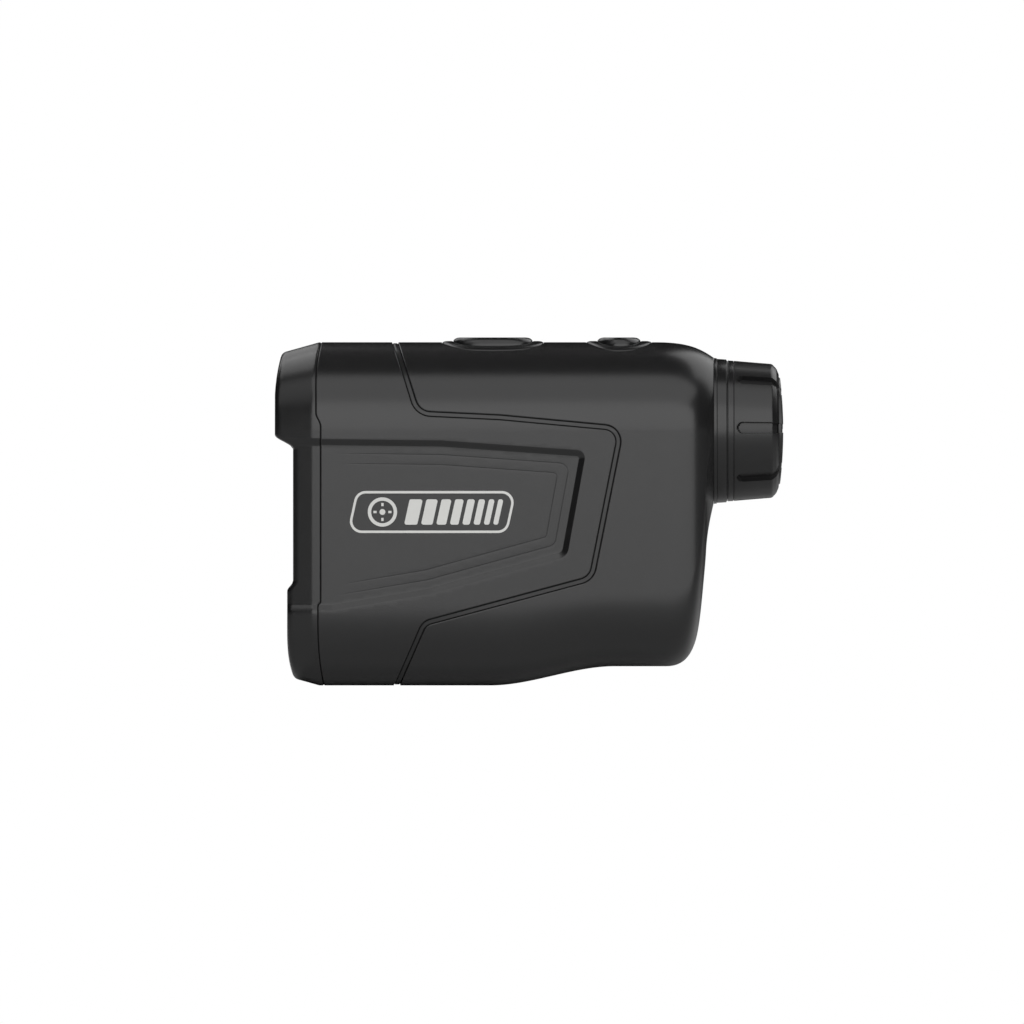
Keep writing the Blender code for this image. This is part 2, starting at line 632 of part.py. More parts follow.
def make_prisms():
    """Erecting prisms in their holder, the laser that joins the view through them, and the display."""
    base, top = EYE_AXIS - 9.5, EYE_AXIS + 9.5
    beam = FRONT + LASER_STATION
    extruded("half_penta_prism", "clear_glass", [(44.0, base), (44.0, top), (50.0, top), (61.0, base)],
             -PRISM_HALF, PRISM_HALF)
    extruded("roof_prism", "clear_glass", [(50.8, top), (69.0, top), (69.0, base + 4), (61.8, base)],
             -PRISM_HALF, PRISM_HALF)
    holder = block("prism_holder", "frame_plastic", (43.0, -11.2, DECK_TOP + GAP), (70.0, 11.2, 61.0))
    inner = PRISM_HALF + GAP
    shape(holder, block("prism_space", None, (42.0, -inner, base - GAP), (71.0, inner, 66.0)))
    shape(holder, turned("holder_hole", None, bore_profile(0, 6, BEAM_RADIUS), DECK_TOP - 0.5, SIDES, 0,
                         beam, True))
    laser = [(0, 3.3), (8.2, 3.3), (8.2, 4.3), (0, 4.3)]
    turned("laser_tube", "brass", laser, 27.3, SIDES, 0, beam, True)
    turned("laser_diode", "steel", bore_profile(0, 3, 3.0), 27.6, SIDES_SMALL + 4, 0, beam, True)
    turned("laser_collimator", "coated_glass", [(-0.5, 0), (0, 3.0), (1.6, 3.0), (2.3, 1.6), (2.5, 0)], 32.4,
           SIDES_SMALL + 4, 0, beam, True)
    block("lcd_display", "clear_glass", (75.9, -7.5, 44.6), (77.5, 7.5, 59.6))
    tube("field_stop", "black_anodised", 77.8, 78.8, 5.6, 9.4, EYE_AXIS)


def make_boards():
    """Main board with its screws, its processor and the coil of the voltage converter."""
    board = block("main_board", "board_green", (43.0, 12.2, 12.0), (78.0, 13.4, 32.6))
    for number, station in enumerate(BOARD_SCREWS, 1):
        hole = turned(f"board_hole_{number}", None, bore_profile(-2, 2, 1.1), BOARD_SCREW_HEIGHT, SIDES_SMALL,
                      12.8, FRONT + station)
        hole.rotation_euler = (0, 0, math.pi / 2)
        shape(board, hole)
        screw = [(-4.3, 0), (-4.3, 0.75), (0, 0.75), (0, 1.5), (1.1, 1.5), (1.1, 0)]
        item = turned(f"board_screw_{number}", "steel", screw, BOARD_SCREW_HEIGHT, SIDES_SMALL, 13.7,
                      FRONT + station)
        item.rotation_euler = (0, 0, math.pi / 2)
    block("mcu_chip", "chip_black", (55.0, 13.7, 16.0), (64.0, 15.0, 25.0))
    block("boost_coil", "chip_black", (68.0, 13.7, 18.0), (74.0, 16.2, 24.0))


def make_battery():
    """Cell in its sleeve between a conical spring and the contact of the screw cap."""
    axis = BATTERY_AXIS
    sleeve = along((46.6, 1.5), (46.6, SLEEVE_OUTER), (81.8, SLEEVE_OUTER), (81.8, SLEEVE_INNER),
                   (48.2, SLEEVE_INNER), (48.2, 1.5))
    turned("battery_sleeve", "frame_plastic", sleeve, axis, SIDES_FINE)
    cell = along((51.6, 0), (51.6, BATTERY_RADIUS), (77.8, BATTERY_RADIUS), (77.8, 3.0), (78.6, 3.0),
                 (78.6, 0))
    turned("battery", "battery_wrap", cell, axis, SIDES_FINE)
    curve = bpy.data.curves.new("battery_spring", "CURVE")
    curve.dimensions = "3D"
    curve.bevel_depth = 0.25 * MM
    curve.bevel_resolution = 2
    curve.use_fill_caps = True
    spline = curve.splines.new("POLY")
    turns, per_turn = 3, 12
    spline.points.add(turns * per_turn)
    for i, point in enumerate(spline.points):
        a = 2 * math.pi * i / per_turn
        radius = 6.6 - 0.09 * i
        x = FRONT + 48.8 + 2.2 * i / (turns * per_turn)
        point.co = (x * MM, radius * math.cos(a) * MM, (axis + radius * math.sin(a)) * MM, 1)
    spring = bpy.data.objects.new("battery_spring", curve)
    curve.materials.append(finish_material("battery_spring", "steel"))
    bpy.context.collection.objects.link(spring)
    rod("battery_contact", "brass", 78.9, 79.3, 5.2, axis)
    tube("battery_cap_seal", "rubber", 82.1, 82.9, 7.6, 8.7, axis)
    cap = along((79.6, 0), (79.6, 7.3), (83.2, 7.3), (83.2, CAP_RADIUS), (85.1, CAP_RADIUS),
                (85.5, CAP_RADIUS - 0.4), (85.5, 0))
    lid = turned("battery_cap", "soft_black", cap, axis, SIDES_FINE)
    shape(lid, block("coin_slot", None, (84.3, -6.2, axis - 0.9), (87.0, 6.2, axis + 0.9)))


def make_eyepiece():
    """Fixed collar, the turning ring with its eyecup, and the lens cell they drive in and out."""
    axis = EYE_AXIS
    collar = along((86.6, TUBE_INNER), (98.2, TUBE_INNER), (98.2, 11.1), (92.35, 11.1), (92.35, 14.4),
                   (91.95, COLLAR_RADIUS), (90.3, COLLAR_RADIUS), (90.05, 14.6), (90.05, TUBE_OUTER),
                   (82.6, TUBE_OUTER), (82.6, TUBE_INNER))
    body = turned("eyepiece_collar", "soft_black", collar, axis, SIDES_FINE)
    shape(body, block("pin_slot", None, (94.0, -1.0, axis - 13.0), (98.0, 1.0, axis - 9.0)))
    tube("collar_nut", "black_anodised", 83.8, 86.0, TUBE_OUTER + GAP, 14.2, axis)
    tube("collar_o_ring", "rubber", 89.0, 89.85, 12.7, 13.9, axis, SIDES_FINE)

    ring = along((92.65, 11.4), (94.1, 11.4), (94.1, 11.9), (97.9, 11.9), (97.9, 11.4), (98.5, 11.4),
                 (98.5, 10.6), (99.5, 10.6), (99.5, RING_SLEEVE), (93.6, RING_SLEEVE), (93.6, 14.45),
                 (92.65, 14.45))
    turned("diopter_ring", "soft_black", ring, axis, SIDES_FINE)

    cup = along((93.9, EYECUP_BORE), (93.9, 14.36), (101.2, 13.75), (102.2, 13.3), (102.9, 12.3),
                (103.3, 10.9), (104.0, 10.3), (104.0, 9.6), (101.5, 9.0), (99.8, 9.0), (99.8, EYECUP_BORE))
    eyecup = turned("eyecup", "rubber", cup, axis, 32)
    eyecup.location = (0, 0, axis * MM)
    for i in range(EYECUP_SLOTS):
        angle = math.radians(SLOT_OFFSET_DEG + 360 / EYECUP_SLOTS * i)
        slot = block(f"cup_slot_{i}", None, (0.0, 0.0, 0.0), (13.0, SLOT_WIDTH, 2.0))
        radius = SLOT_FLOOR + 1.0
        place = (FRONT + 101.1, radius * math.sin(angle), axis + radius * math.cos(angle))
        slot.location = Vector(place) * MM
        slot.rotation_euler = (-angle, 0, 0)
        shape(eyecup, slot)

    cell = along((85.0, 8.5), (97.2, 8.5), (97.2, CELL_OUTER), (83.6, CELL_OUTER), (83.6, 7.4), (85.0, 7.4))
    holder = turned("eyepiece_cell", "black_anodised", cell, axis, SIDES_FINE)
    pin = bore_profile(0, 2.6, 0.6)
    turned("guide_pin", "steel", pin, axis - 11.6, SIDES_SMALL - 4, 0, FRONT + 96.0, True)
    shape(holder, turned("pin_hole", None, bore_profile(0, 3.5, 0.85), axis - 11.0, SIDES_SMALL, 0,
                         FRONT + 96.0, True))
    lens("field_lens", 86.6, 88.2, EYE_LENS_RADIUS, 1.2, 0.4, axis)
    tube("cell_spacer", "black_anodised", 88.5, 91.6, 7.2, EYE_LENS_RADIUS, axis)
    lens("eye_lens", 91.9, 93.9, EYE_LENS_RADIUS, 0.5, 1.4, axis)
    tube("cell_retainer", "black_anodised", 94.2, 95.0, 7.2, EYE_LENS_RADIUS, axis)


def main():
    clear_scene()
    make_bezel()
    make_housings()
    make_buttons()
    make_front_optics()
    make_frame()
    make_prisms()
    make_boards()
    make_battery()
    make_eyepiece()


main()
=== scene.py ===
"""Looks of the hand-held laser rangefinder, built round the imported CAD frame.

Sizes are millimetres, turned into metres by MM when a mesh is made. Stations
are measured along +X from the front of the hood. The body's surface has the
coordinates v, along it to the rear, and t, round it from top to foot.
"""
import json
import math

import bmesh
import bpy
import numpy as np
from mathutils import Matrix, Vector
from mathutils.geometry import delaunay_2d_cdt


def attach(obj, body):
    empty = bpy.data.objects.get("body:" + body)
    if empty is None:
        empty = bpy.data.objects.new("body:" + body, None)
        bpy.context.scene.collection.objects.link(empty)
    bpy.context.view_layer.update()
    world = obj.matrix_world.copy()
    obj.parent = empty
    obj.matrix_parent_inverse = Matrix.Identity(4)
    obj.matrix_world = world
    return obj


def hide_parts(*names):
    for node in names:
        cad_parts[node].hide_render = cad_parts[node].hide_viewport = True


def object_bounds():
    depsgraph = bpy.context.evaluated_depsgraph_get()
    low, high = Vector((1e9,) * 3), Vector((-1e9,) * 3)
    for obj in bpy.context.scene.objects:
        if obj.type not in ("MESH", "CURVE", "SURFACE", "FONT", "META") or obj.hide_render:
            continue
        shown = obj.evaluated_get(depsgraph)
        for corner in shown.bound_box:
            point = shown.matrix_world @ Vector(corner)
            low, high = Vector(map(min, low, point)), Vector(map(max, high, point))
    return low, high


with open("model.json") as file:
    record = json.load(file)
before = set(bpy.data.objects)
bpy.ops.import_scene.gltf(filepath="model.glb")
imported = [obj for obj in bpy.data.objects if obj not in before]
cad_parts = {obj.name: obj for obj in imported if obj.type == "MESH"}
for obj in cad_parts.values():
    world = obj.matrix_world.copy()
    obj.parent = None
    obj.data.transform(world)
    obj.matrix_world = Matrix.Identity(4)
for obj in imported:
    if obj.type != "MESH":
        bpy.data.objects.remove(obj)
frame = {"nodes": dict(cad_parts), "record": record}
cad_low, cad_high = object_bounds()

MM = 0.001

# The body; as in the CAD model, but for the fuller lower rounding
FRONT = cad_low.x / MM
EYE_AXIS = 52.1
BODY_TOP = 70.25
HALF_WIDTH = 20.5
LOWER_RISE = 17.5
FOOT_HALF = 5.0
LOWER_FULLNESS = 0.8      # how much squarer than an ellipse the lower rounding is
HUMP_START = 44.0
HUMP_LENGTH = 25.5
HUMP_RISE = 3.92
BODY_REAR = 89.75
RIM_RADIUS = 15.0
RIM_BORE = 12.0
REAR_TOP = ((78.0, BODY_TOP), (84.5, BODY_TOP), (87.0, 69.0), (BODY_REAR, EYE_AXIS + RIM_RADIUS))
REAR_WIDTH = ((79.0, HALF_WIDTH), (85.0, HALF_WIDTH), (87.6, 18.2), (BODY_REAR, RIM_RADIUS))
REAR_BOTTOM = ((80.0, HUMP_RISE), (86.2, HUMP_RISE), (87.2, 10.0), (88.2, 27.0))
REAR_FILLET = ((88.2, 27.0), (88.35, 30.5), (88.9, 33.7), (BODY_REAR, EYE_AXIS - RIM_RADIUS))
SEAM = ((24.7, 72.0, 0), (29.5, 56.3, 3.2), (46.0, 55.5, 0), (71.5, 53.1, 3.6),
        (65.2, 21.4, 4.0), (30.9, 12.2, 2.2), (25.2, -1.0, 0))
SEAL_FROM, SEAL_TO, SEAM_FRONT = 0.19, 1.01, 1.2
SEAL_RECESS = 0.2
GROOVE_DEPTH = 0.32       # floor of the joints' narrow grooves
PANEL = ((-8.0, 50.6, 0), (34.0, 50.1, 0), (63.6, 48.0, 1.6), (59.7, 26.4, 2.4),
         (31.7, 18.7, 0), (11.5, 15.3, 0), (-8.0, 15.3, 0))
PANEL_DEPTH = 0.9
PANEL_SLOPE = 1.15
INNER_LINES = ((2.9, 1.8), (4.95, 0.9))    # distance in from the panel's edge, corner radius
LINE_DEPTH, LINE_WIDTH = 0.045, 0.06
MEASURE = (44.6, 8.1, 6.4, 3.0)    # centre, half length, half width, roundness
MODE = (70.4, 4.4, 6.6, 2.2)
TRIM_BORDER = 2.2
CAP_AXIS = 17.5
CAP_HOLE = 9.2
WELL_WALL = 0.8
WALL = 1.8
LIP = 0.13                # rounding of the housings' edges
LIP_ROWS = (0.05, 0.1, 0.16, 0.3)    # distances of the rows of points that follow a lip
PANEL_ROWS = (-0.08, 0, 0.08, 0.35, 0.6, 0.85, 1.07, 1.15, 1.23)
LINE_ROWS = (-0.14, -0.09, -0.045, 0, 0.045, 0.09, 0.14)
SHELL_SPACING = 0.9       # distance between the free points of a shell
CROWDING = 0.3            # free points keep this far from a row's points
JOINT_GAP = 0.24          # open width of the joint behind the bezel
TRIM_GAP = 0.1            # open width around the trims and buttons

# Front bezel
FACE_STATION = 3.75       # flat wall between the two hoods
FRONT_SLOPE = 0.28        # how fast it narrows in front of its crease
FRONT_ROUNDING = 0.9
RECEIVER_AXIS = 17.5
HOODS = ((EYE_AXIS, 14.0, 12.9), (RECEIVER_AXIS, 12.4, 11.7))    # axis height, bore, socket
HOOD_STEPS = 61
HOOD_EDGE = 0.35          # rounding of a hood's opening
SOCKET_FLOOR = 4.9
BEZEL_BACK = 6.4
BEZEL_LIP = ((0.0, WALL), (0.0, 0.12), (0.04, 0.03), (0.12, 0.0))    # distance from the joint, depth
PLAIN_STATION = 20.0      # where the body's section is at its full size

GIRTH = 96.0              # length given to half a section, top to foot
REAR_START = 80.0
SIDES = 112               # points round a turned piece


def smooth(u):
    u = np.clip(u, 0, 1)
    return u * u * (3 - 2 * u)


def cubic_points(curve, count=1500):
    t = np.linspace(0, 1, count)[:, None]
    p = np.array(curve, float)
    s = 1 - t
    return s ** 3 * p[0] + 3 * t * s ** 2 * p[1] + 3 * t * t * s * p[2] + t ** 3 * p[3]


TOP_CURVE = cubic_points(REAR_TOP)
WIDTH_CURVE = cubic_points(REAR_WIDTH)
TAIL_CURVE = np.vstack([cubic_points(REAR_BOTTOM), cubic_points(REAR_FILLET)[1:]])
TAIL_RUN = np.concatenate([[0], np.cumsum(np.linalg.norm(np.diff(TAIL_CURVE, axis=0), axis=1))])
TAIL_END = REAR_START + TAIL_RUN[-1]


def station(v):
    """Station of the surface coordinate v, which follows the underside at the rear."""
    return np.where(v <= REAR_START, v, np.interp(v - REAR_START, TAIL_RUN, TAIL_CURVE[:, 0]))


def section(v):
    """Top, bottom, half width and half foot of the section at v."""
    s = station(v)
    top = np.where(s > REAR_TOP[0][0], np.interp(s, TOP_CURVE[:, 0], TOP_CURVE[:, 1]), BODY_TOP)
    half = np.where(s > REAR_WIDTH[0][0], np.interp(s, WIDTH_CURVE[:, 0], WIDTH_CURVE[:, 1]), HALF_WIDTH)
    bottom = HUMP_RISE * smooth((s - HUMP_START) / HUMP_LENGTH)
    bottom = np.where(v > REAR_START, np.interp(v - REAR_START, TAIL_RUN, TAIL_CURVE[:, 1]), bottom)
    foot = FOOT_HALF * (1 - np.clip((s - REAR_START) / (BODY_REAR - REAR_START), 0, 1))
    return s, top, bottom, half, foot


def fullness(bottom):
    """Power of the lower rounding's outline: squarer along the body, round at the eyepiece."""
    return 2 + LOWER_FULLNESS * (1 - smooth((bottom - HUMP_RISE) / LOWER_RISE))


def section_breaks(top, bottom, half, foot):
    """Girth coordinates where the top arc, the side and the lower arc end."""
    rise = np.minimum(LOWER_RISE - np.minimum(bottom, HUMP_RISE) / 2, EYE_AXIS - bottom)
    upper = math.pi / 2 * np.sqrt((half ** 2 + (top - EYE_AXIS) ** 2) / 2)
    side = EYE_AXIS - bottom - rise
    lower = math.pi / 2 * np.sqrt(((half - foot) ** 2 + rise ** 2) / 2)
    scale = GIRTH / (upper + side + lower + foot)
    return rise, upper * scale, (upper + side) * scale, (upper + side + lower) * scale


def skin(v, t):
    """Bare body surface, right half: v runs to the rear, t from the top's middle to the foot's."""
    s, top, bottom, half, foot = section(v)
    rise, t1, t2, t3 = section_breaks(top, bottom, half, foot)
    a = math.pi / 2 * (1 - np.clip(t / t1, 0, 1))
    b = math.pi / 2 * np.clip((t - t2) / (t3 - t2), 0, 1)
    power = fullness(bottom)
    reach = (np.abs(np.cos(b)) ** power + np.sin(b) ** power) ** (-1 / power)
    corner = foot + (half - foot) * reach * np.cos(b)
    flat = foot * (GIRTH - t) / np.maximum(GIRTH - t3, 1e-6)
    y = np.where(t < t1, half * np.cos(a), np.where(t < t3, corner, flat))
    side = EYE_AXIS + np.clip((t - t1) / np.maximum(t2 - t1, 1e-6), 0, 1) * (bottom + rise - EYE_AXIS)
    z = np.where(t < t1, EYE_AXIS + (top - EYE_AXIS) * np.sin(a),
                 np.where(t < t2, side, bottom + rise * (1 - reach * np.sin(b))))
    rim = np.maximum(v - TAIL_END, 0)
    shrink = 1 - rim / RIM_RADIUS
    return np.stack([FRONT + s, y * shrink, EYE_AXIS + (z - EYE_AXIS) * shrink], axis=-1)


def girth_at(s, z):
    """Girth coordinate of the side point at station s and height z; s is in front of the rear end."""
    _, top, bottom, half, foot = section(s)
    rise, t1, t2, t3 = section_breaks(top, bottom, half, foot)
    a = np.arcsin(np.clip((z - EYE_AXIS) / (top - EYE_AXIS), 0, 1))
    power = fullness(bottom)
    drop = np.clip(1 - (z - bottom) / rise, 0, 1)
    b = np.arctan2(drop, (1 - drop ** power) ** (1 / power))
    side = t1 + (t2 - t1) * (EYE_AXIS - z) / (EYE_AXIS - bottom - rise)
    return np.where(z > EYE_AXIS, t1 * (1 - a / (math.pi / 2)),
                    np.where(z > bottom + rise, side, t2 + (t3 - t2) * b / (math.pi / 2)))


def skin_normals(v, t):
    step = 0.04
    along = skin(v + step, t) - skin(v - step, t)
    inner = np.clip(t, step, GIRTH - step)
    round_ = skin(v, inner + step) - skin(v, inner - step)
    normal = np.cross(along, round_)
    middle = (t < 1e-6) | (t > GIRTH - 1e-6)
    normal[..., 1] = np.where(middle, 0, normal[..., 1])
    return normal / np.linalg.norm(normal, axis=-1, keepdims=True)


def rounded(corners, steps=7):
    """Path through corners (x, y, radius), with each radius as an arc."""
    path = []
    for i, (x, y, radius) in enumerate(corners):
        here = Vector((x, y))
        if not radius:
            path.append(here)
            continue
        back = (Vector(corners[i - 1][:2]) - here).normalized()
        ahead = (Vector(corners[(i + 1) % len(corners)][:2]) - here).normalized()
        half = back.angle(ahead) / 2
        centre = here + (back + ahead).normalized() * radius / math.sin(half)
        start = here + back * radius / math.tan(half) - centre
        turn = start.angle_signed(here + ahead * radius / math.tan(half) - centre)
        for k in range(steps + 1):
            angle = math.atan2(start.y, start.x) - turn * k / steps
            path.append(centre + radius * Vector((math.cos(angle), math.sin(angle))))
    return np.array([tuple(p) for p in path])


def shifted(path, distance):
    """Path moved to its right by a distance."""
    step = np.diff(path, axis=0)
    step /= np.linalg.norm(step, axis=1, keepdims=True)
    first = np.vstack([step[:1], step])
    second = np.vstack([step, step[-1:]])
    mean = first + second
    mean /= np.linalg.norm(mean, axis=1, keepdims=True)
    normal = np.stack([mean[:, 1], -mean[:, 0]], axis=1)
    return path + normal * (distance / np.maximum((mean * first).sum(1), 0.2))[:, None]


def even(path, spacing):
    """The same path with points about a spacing apart, corners kept."""
    out = [path[:1]]
    for a, b in zip(path, path[1:]):
        count = max(1, round(float(np.linalg.norm(b - a)) / spacing))
        out.append(a + (b - a) * np.linspace(0, 1, count + 1)[1:, None])
    return np.vstack(out)


def distance_to(points, path):
    """Distance of each point to a path."""
    best = np.full(len(points), 1e9)
    for a, b in zip(path, path[1:]):
        run = b - a
        along = np.clip(((points - a) @ run) / max(run @ run, 1e-12), 0, 1)
        best = np.minimum(best, np.linalg.norm(points - a - along[:, None] * run, axis=1))
    return best


def close(loop):
    return np.vstack([loop, loop[:1]])


def inside(points, loop):
    """Whether each point lies inside a closed loop."""
    x, y = points[:, 0], points[:, 1]
    hit = np.zeros(len(points), bool)
    for (ax, ay), (bx, by) in zip(loop, np.roll(loop, -1, axis=0)):
        if ay == by:
            continue
        crossing = (ay > y) != (by > y)
        hit ^= crossing & (x < ax + (y - ay) / (by - ay) * (bx - ax))
    return hit


def panel_line(distance, radius):
    """Closed loop inside the panel's edge, with corners of one radius."""
    corners = np.array([corner[:2] for corner in PANEL])
    around = np.vstack([corners[-1:], corners, corners[:1]])
    inner = shifted(around, distance)[1:-1]
    return close(rounded([(x, z, radius) for x, z in inner]))


PANEL_LOOP = rounded(PANEL)
PANEL_CLOSED = close(PANEL_LOOP)
LINE_LOOPS = [panel_line(distance, radius) for distance, radius in INNER_LINES]


def ramp(u):
    """Straight slope from 0 to 1 with eased ends."""
    ease = 0.07

    def area(x):
        return np.where(x < 0, 0, np.where(x < 1, x * x / 2, x - 0.5))

    return (area(u + ease) - area(u - ease)) / (2 * ease)


def panel_depth(s, z):
    """Depth of the shallow side panel at a side point, with its two faint inner lines."""
    points = np.stack([s, z], axis=-1)
    depth = np.zeros(len(points))
    near = (s < 66) & (z < 53) & (z > 13)
    if not near.any():
        return depth
    chosen = points[near]
    edge = distance_to(chosen, PANEL_CLOSED) * np.where(inside(chosen, PANEL_LOOP), 1, -1)
    value = PANEL_DEPTH * ramp(edge / PANEL_SLOPE)
    fade = smooth((chosen[:, 0] - 10) / 22)
    for loop in LINE_LOOPS:
        value += fade * LINE_DEPTH * np.exp(-(distance_to(chosen, loop) / LINE_WIDTH) ** 2)
    depth[near] = value
    return depth


def lip_depth(distance):
    """Rounding of an edge, as depth below the surface."""
    short = np.clip(LIP - distance, 0, LIP)
    return LIP - np.sqrt(np.maximum(LIP ** 2 - short ** 2, 0))


def relief(points, lips, with_panel):
    """Depth below the bare surface at (v, t) points."""
    depth = np.zeros(len(points))
    for path in lips:
        depth += lip_depth(distance_to(points, path))
    if with_panel:
        bare = skin(points[:, 0], points[:, 1])
        depth += panel_depth(bare[:, 0] - FRONT, bare[:, 2])
    return depth


def new_piece(name, verts, faces, material, body, nodes=(), normals=None):
    """Mesh object from millimetre points that rides on a body and stands for CAD nodes."""
    mesh = bpy.data.meshes.new(name)
    points = (np.asarray(verts, float) * MM).tolist()
    mesh.from_pydata(points, [], [tuple(int(i) for i in face) for face in faces])
    mesh.validate()
    mesh.polygons.foreach_set("use_smooth", [True] * len(mesh.polygons))
    mesh.materials.append(material)
    if normals is not None:
        mesh.normals_split_custom_set(normals)
    item = bpy.data.objects.new(name, mesh)
    bpy.context.collection.objects.link(item)
    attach(item, body)
    if nodes:
        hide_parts(*nodes)
    return item


def filling(loop, spacing, gap):
    """Points of a hexagonal grid that lie inside a loop and a gap away from it."""
    low, high = loop.min(0), loop.max(0)
    rows = []
    step = spacing * 0.87
    for k, y in enumerate(np.arange(low[1] + step / 2, high[1], step)):
        x = np.arange(low[0] + spacing * (0.25 + 0.5 * (k % 2)), high[0], spacing)
        rows.append(np.stack([x, np.full(len(x), y)], axis=1))
    grid = np.vstack(rows)
    grid = grid[inside(grid, loop)]
    return grid[distance_to(grid, close(loop)) > gap]


def triangles(loop, free, holes=(), links=()):
    """Triangles of a loop with free points in it, some linked; holes are closed loops left open."""
    loops = [loop] + list(holes)
    verts = [Vector(p) for path in loops for p in path]
    edges, first = [], 0
    for path in loops:
        edges += [(first + i, first + (i + 1) % len(path)) for i in range(len(path))]
        first += len(path)
    edges += [(first + int(i), first + int(j)) for i, j in links]
    verts += [Vector(p) for p in free]
    points, _, faces, _, _, _ = delaunay_2d_cdt(verts, edges, [], 0, 1e-7)
    points = np.array([tuple(p) for p in points])
    faces = np.array([tuple(f) for f in faces])
    middle = points[faces].mean(axis=1)
    keep = inside(middle, loop)
    for hole in holes:
        keep &= ~inside(middle, hole)
    faces = faces[keep]
    a, b, c = points[faces[:, 0]], points[faces[:, 1]], points[faces[:, 2]]
    area = np.cross(b - a, c - a)
    faces[area < 0] = faces[area < 0][:, ::-1]
    return points, faces[np.abs(area) > 1e-9]


def guide_rows(lips, with_panel):
    """Rows of (v, t) points along the lips and the panel's lines."""
    rows = [even(shifted(path, sign * d), 0.55) for sign in (1, -1) for path in lips for d in LIP_ROWS]
    if with_panel:
        lines = [(PANEL_CLOSED, d) for d in PANEL_ROWS]
        lines += [(line, d) for line in LINE_LOOPS for d in LINE_ROWS]
        for path, d in lines:
            row = even(shifted(path, d), 0.5)
            row = row[(np.abs(distance_to(row, path) - abs(d)) < 0.02) & (row[:, 0] > 5)]
            rows.append(np.stack([row[:, 0], girth_at(row[:, 0], row[:, 1])], axis=1))
    return rows


def rows_inside(rows, loop):
    """Points of the rows that lie inside a loop, and the links between neighbours."""
    kept, links, count = [], [], 0
    for row in rows:
        keep = inside(row, loop) & (distance_to(row, close(loop)) > 0.035)
        index = count + np.cumsum(keep) - 1
        near = np.linalg.norm(np.diff(row, axis=0), axis=1) < 0.9
        links += [(index[k], index[k + 1]) for k in np.flatnonzero(keep[:-1] & keep[1:] & near)]
        kept.append(row[keep])
        count += keep.sum()
    return np.vstack(kept), links


def half_shell(name, sides, finish, node, with_panel):
    """Shell piece from one half's outline in (v, t), mirrored; sides are (path, has_lip) in order."""
    lips = [path for path, has_lip in sides if has_lip]
    loop = np.vstack([path[:-1] for path, _ in sides])
    rows, links = rows_inside(guide_rows(lips, with_panel), loop)
    grid = filling(loop, SHELL_SPACING, 0.42)
    grid = grid[[((rows - point) ** 2).sum(1).min() >= CROWDING ** 2 for point in grid]]
    flat, faces = triangles(loop, np.vstack([rows, grid]), (), links)
    v, t = flat[:, 0], flat[:, 1]
    base, base_normal = skin(v, t), skin_normals(v, t)

    def lifted(dv, dt):
        moved = np.stack([v + dv, np.clip(t + dt, 0, GIRTH)], axis=1)
        return skin(moved[:, 0], moved[:, 1]) - base_normal * relief(moved, lips, with_panel)[:, None]

    outer = lifted(0, 0)
    step = 0.03
    normal = np.cross(lifted(step, 0) - lifted(-step, 0), lifted(0, step) - lifted(0, -step))
    on_middle = (t < 1e-6) | (t > GIRTH - 1e-6)
    normal[:, 1] = np.where(on_middle, 0, normal[:, 1])
    normal /= np.maximum(np.linalg.norm(normal, axis=1, keepdims=True), 1e-12)
    outer[on_middle, 1] = 0
    inner = base - base_normal * WALL
    inner[on_middle, 1] = 0

    count = len(flat)
    edges = [(face[k], face[(k + 1) % 3]) for face in faces.tolist() for k in range(3)]
    paired = set(edges)
    rim = [(j, i, i + count, j + count) for i, j in edges
           if (j, i) not in paired and not (on_middle[i] and on_middle[j])]
    half_faces = [tuple(f) for f in faces] + [(c + count, b + count, a + count) for a, b, c in faces] + rim
    verts = np.vstack([outer, inner])
    normals = np.vstack([normal, -base_normal])
    own = np.arange(2 * count)
    mirror = np.where(np.concatenate([on_middle, on_middle]), own, own + 2 * count)
    all_faces, loop_normals = [], []
    for flip, points in ((1, own), (-1, mirror)):
        turned = [tuple(n) for n in normals * (1, flip, 1)]
        for face in half_faces:
            order = face[::flip]
            all_faces.append([points[i] for i in order])
            loop_normals += [(0.0, 0.0, 0.0) if len(face) == 4 else turned[i] for i in order]
    keep, index = np.unique(np.concatenate(all_faces), return_inverse=True)
    packed = np.split(index, np.cumsum([len(face) for face in all_faces])[:-1])
    all_verts = np.vstack([verts, verts * (1, -1, 1)])
    new_piece(name, all_verts[keep], packed, finish, "body", [node], loop_normals)


def seam_path(distance):
    """The seam in (v, t) from the top's middle to the foot's, moved forward by a distance."""
    path = shifted(rounded(SEAM, 10), distance)
    core = even(path[1:-1], 0.45)
    legs = []
    for end, near in ((path[0], path[1]), (path[-1], path[-2])):
        slope = (end[0] - near[0]) / (end[1] - near[1])
        inner = girth_at(near[0], near[1])
        limit = 0.0 if end[1] > EYE_AXIS else GIRTH
        count = max(3, round(abs(float(inner) - limit) / 0.45))
        t = np.linspace(limit, inner, count)
        z = skin(np.full(len(t), near[0]), t)[:, 2]
        legs.append(np.stack([near[0] + slope * (z - near[1]), t], axis=1))
    core = np.stack([core[:, 0], girth_at(core[:, 0], core[:, 1])], axis=1)
    return np.vstack([legs[0][:-1], core, legs[1][::-1][1:]])


def straight(a, b):
    return even(np.array([a, b], float), 0.6)


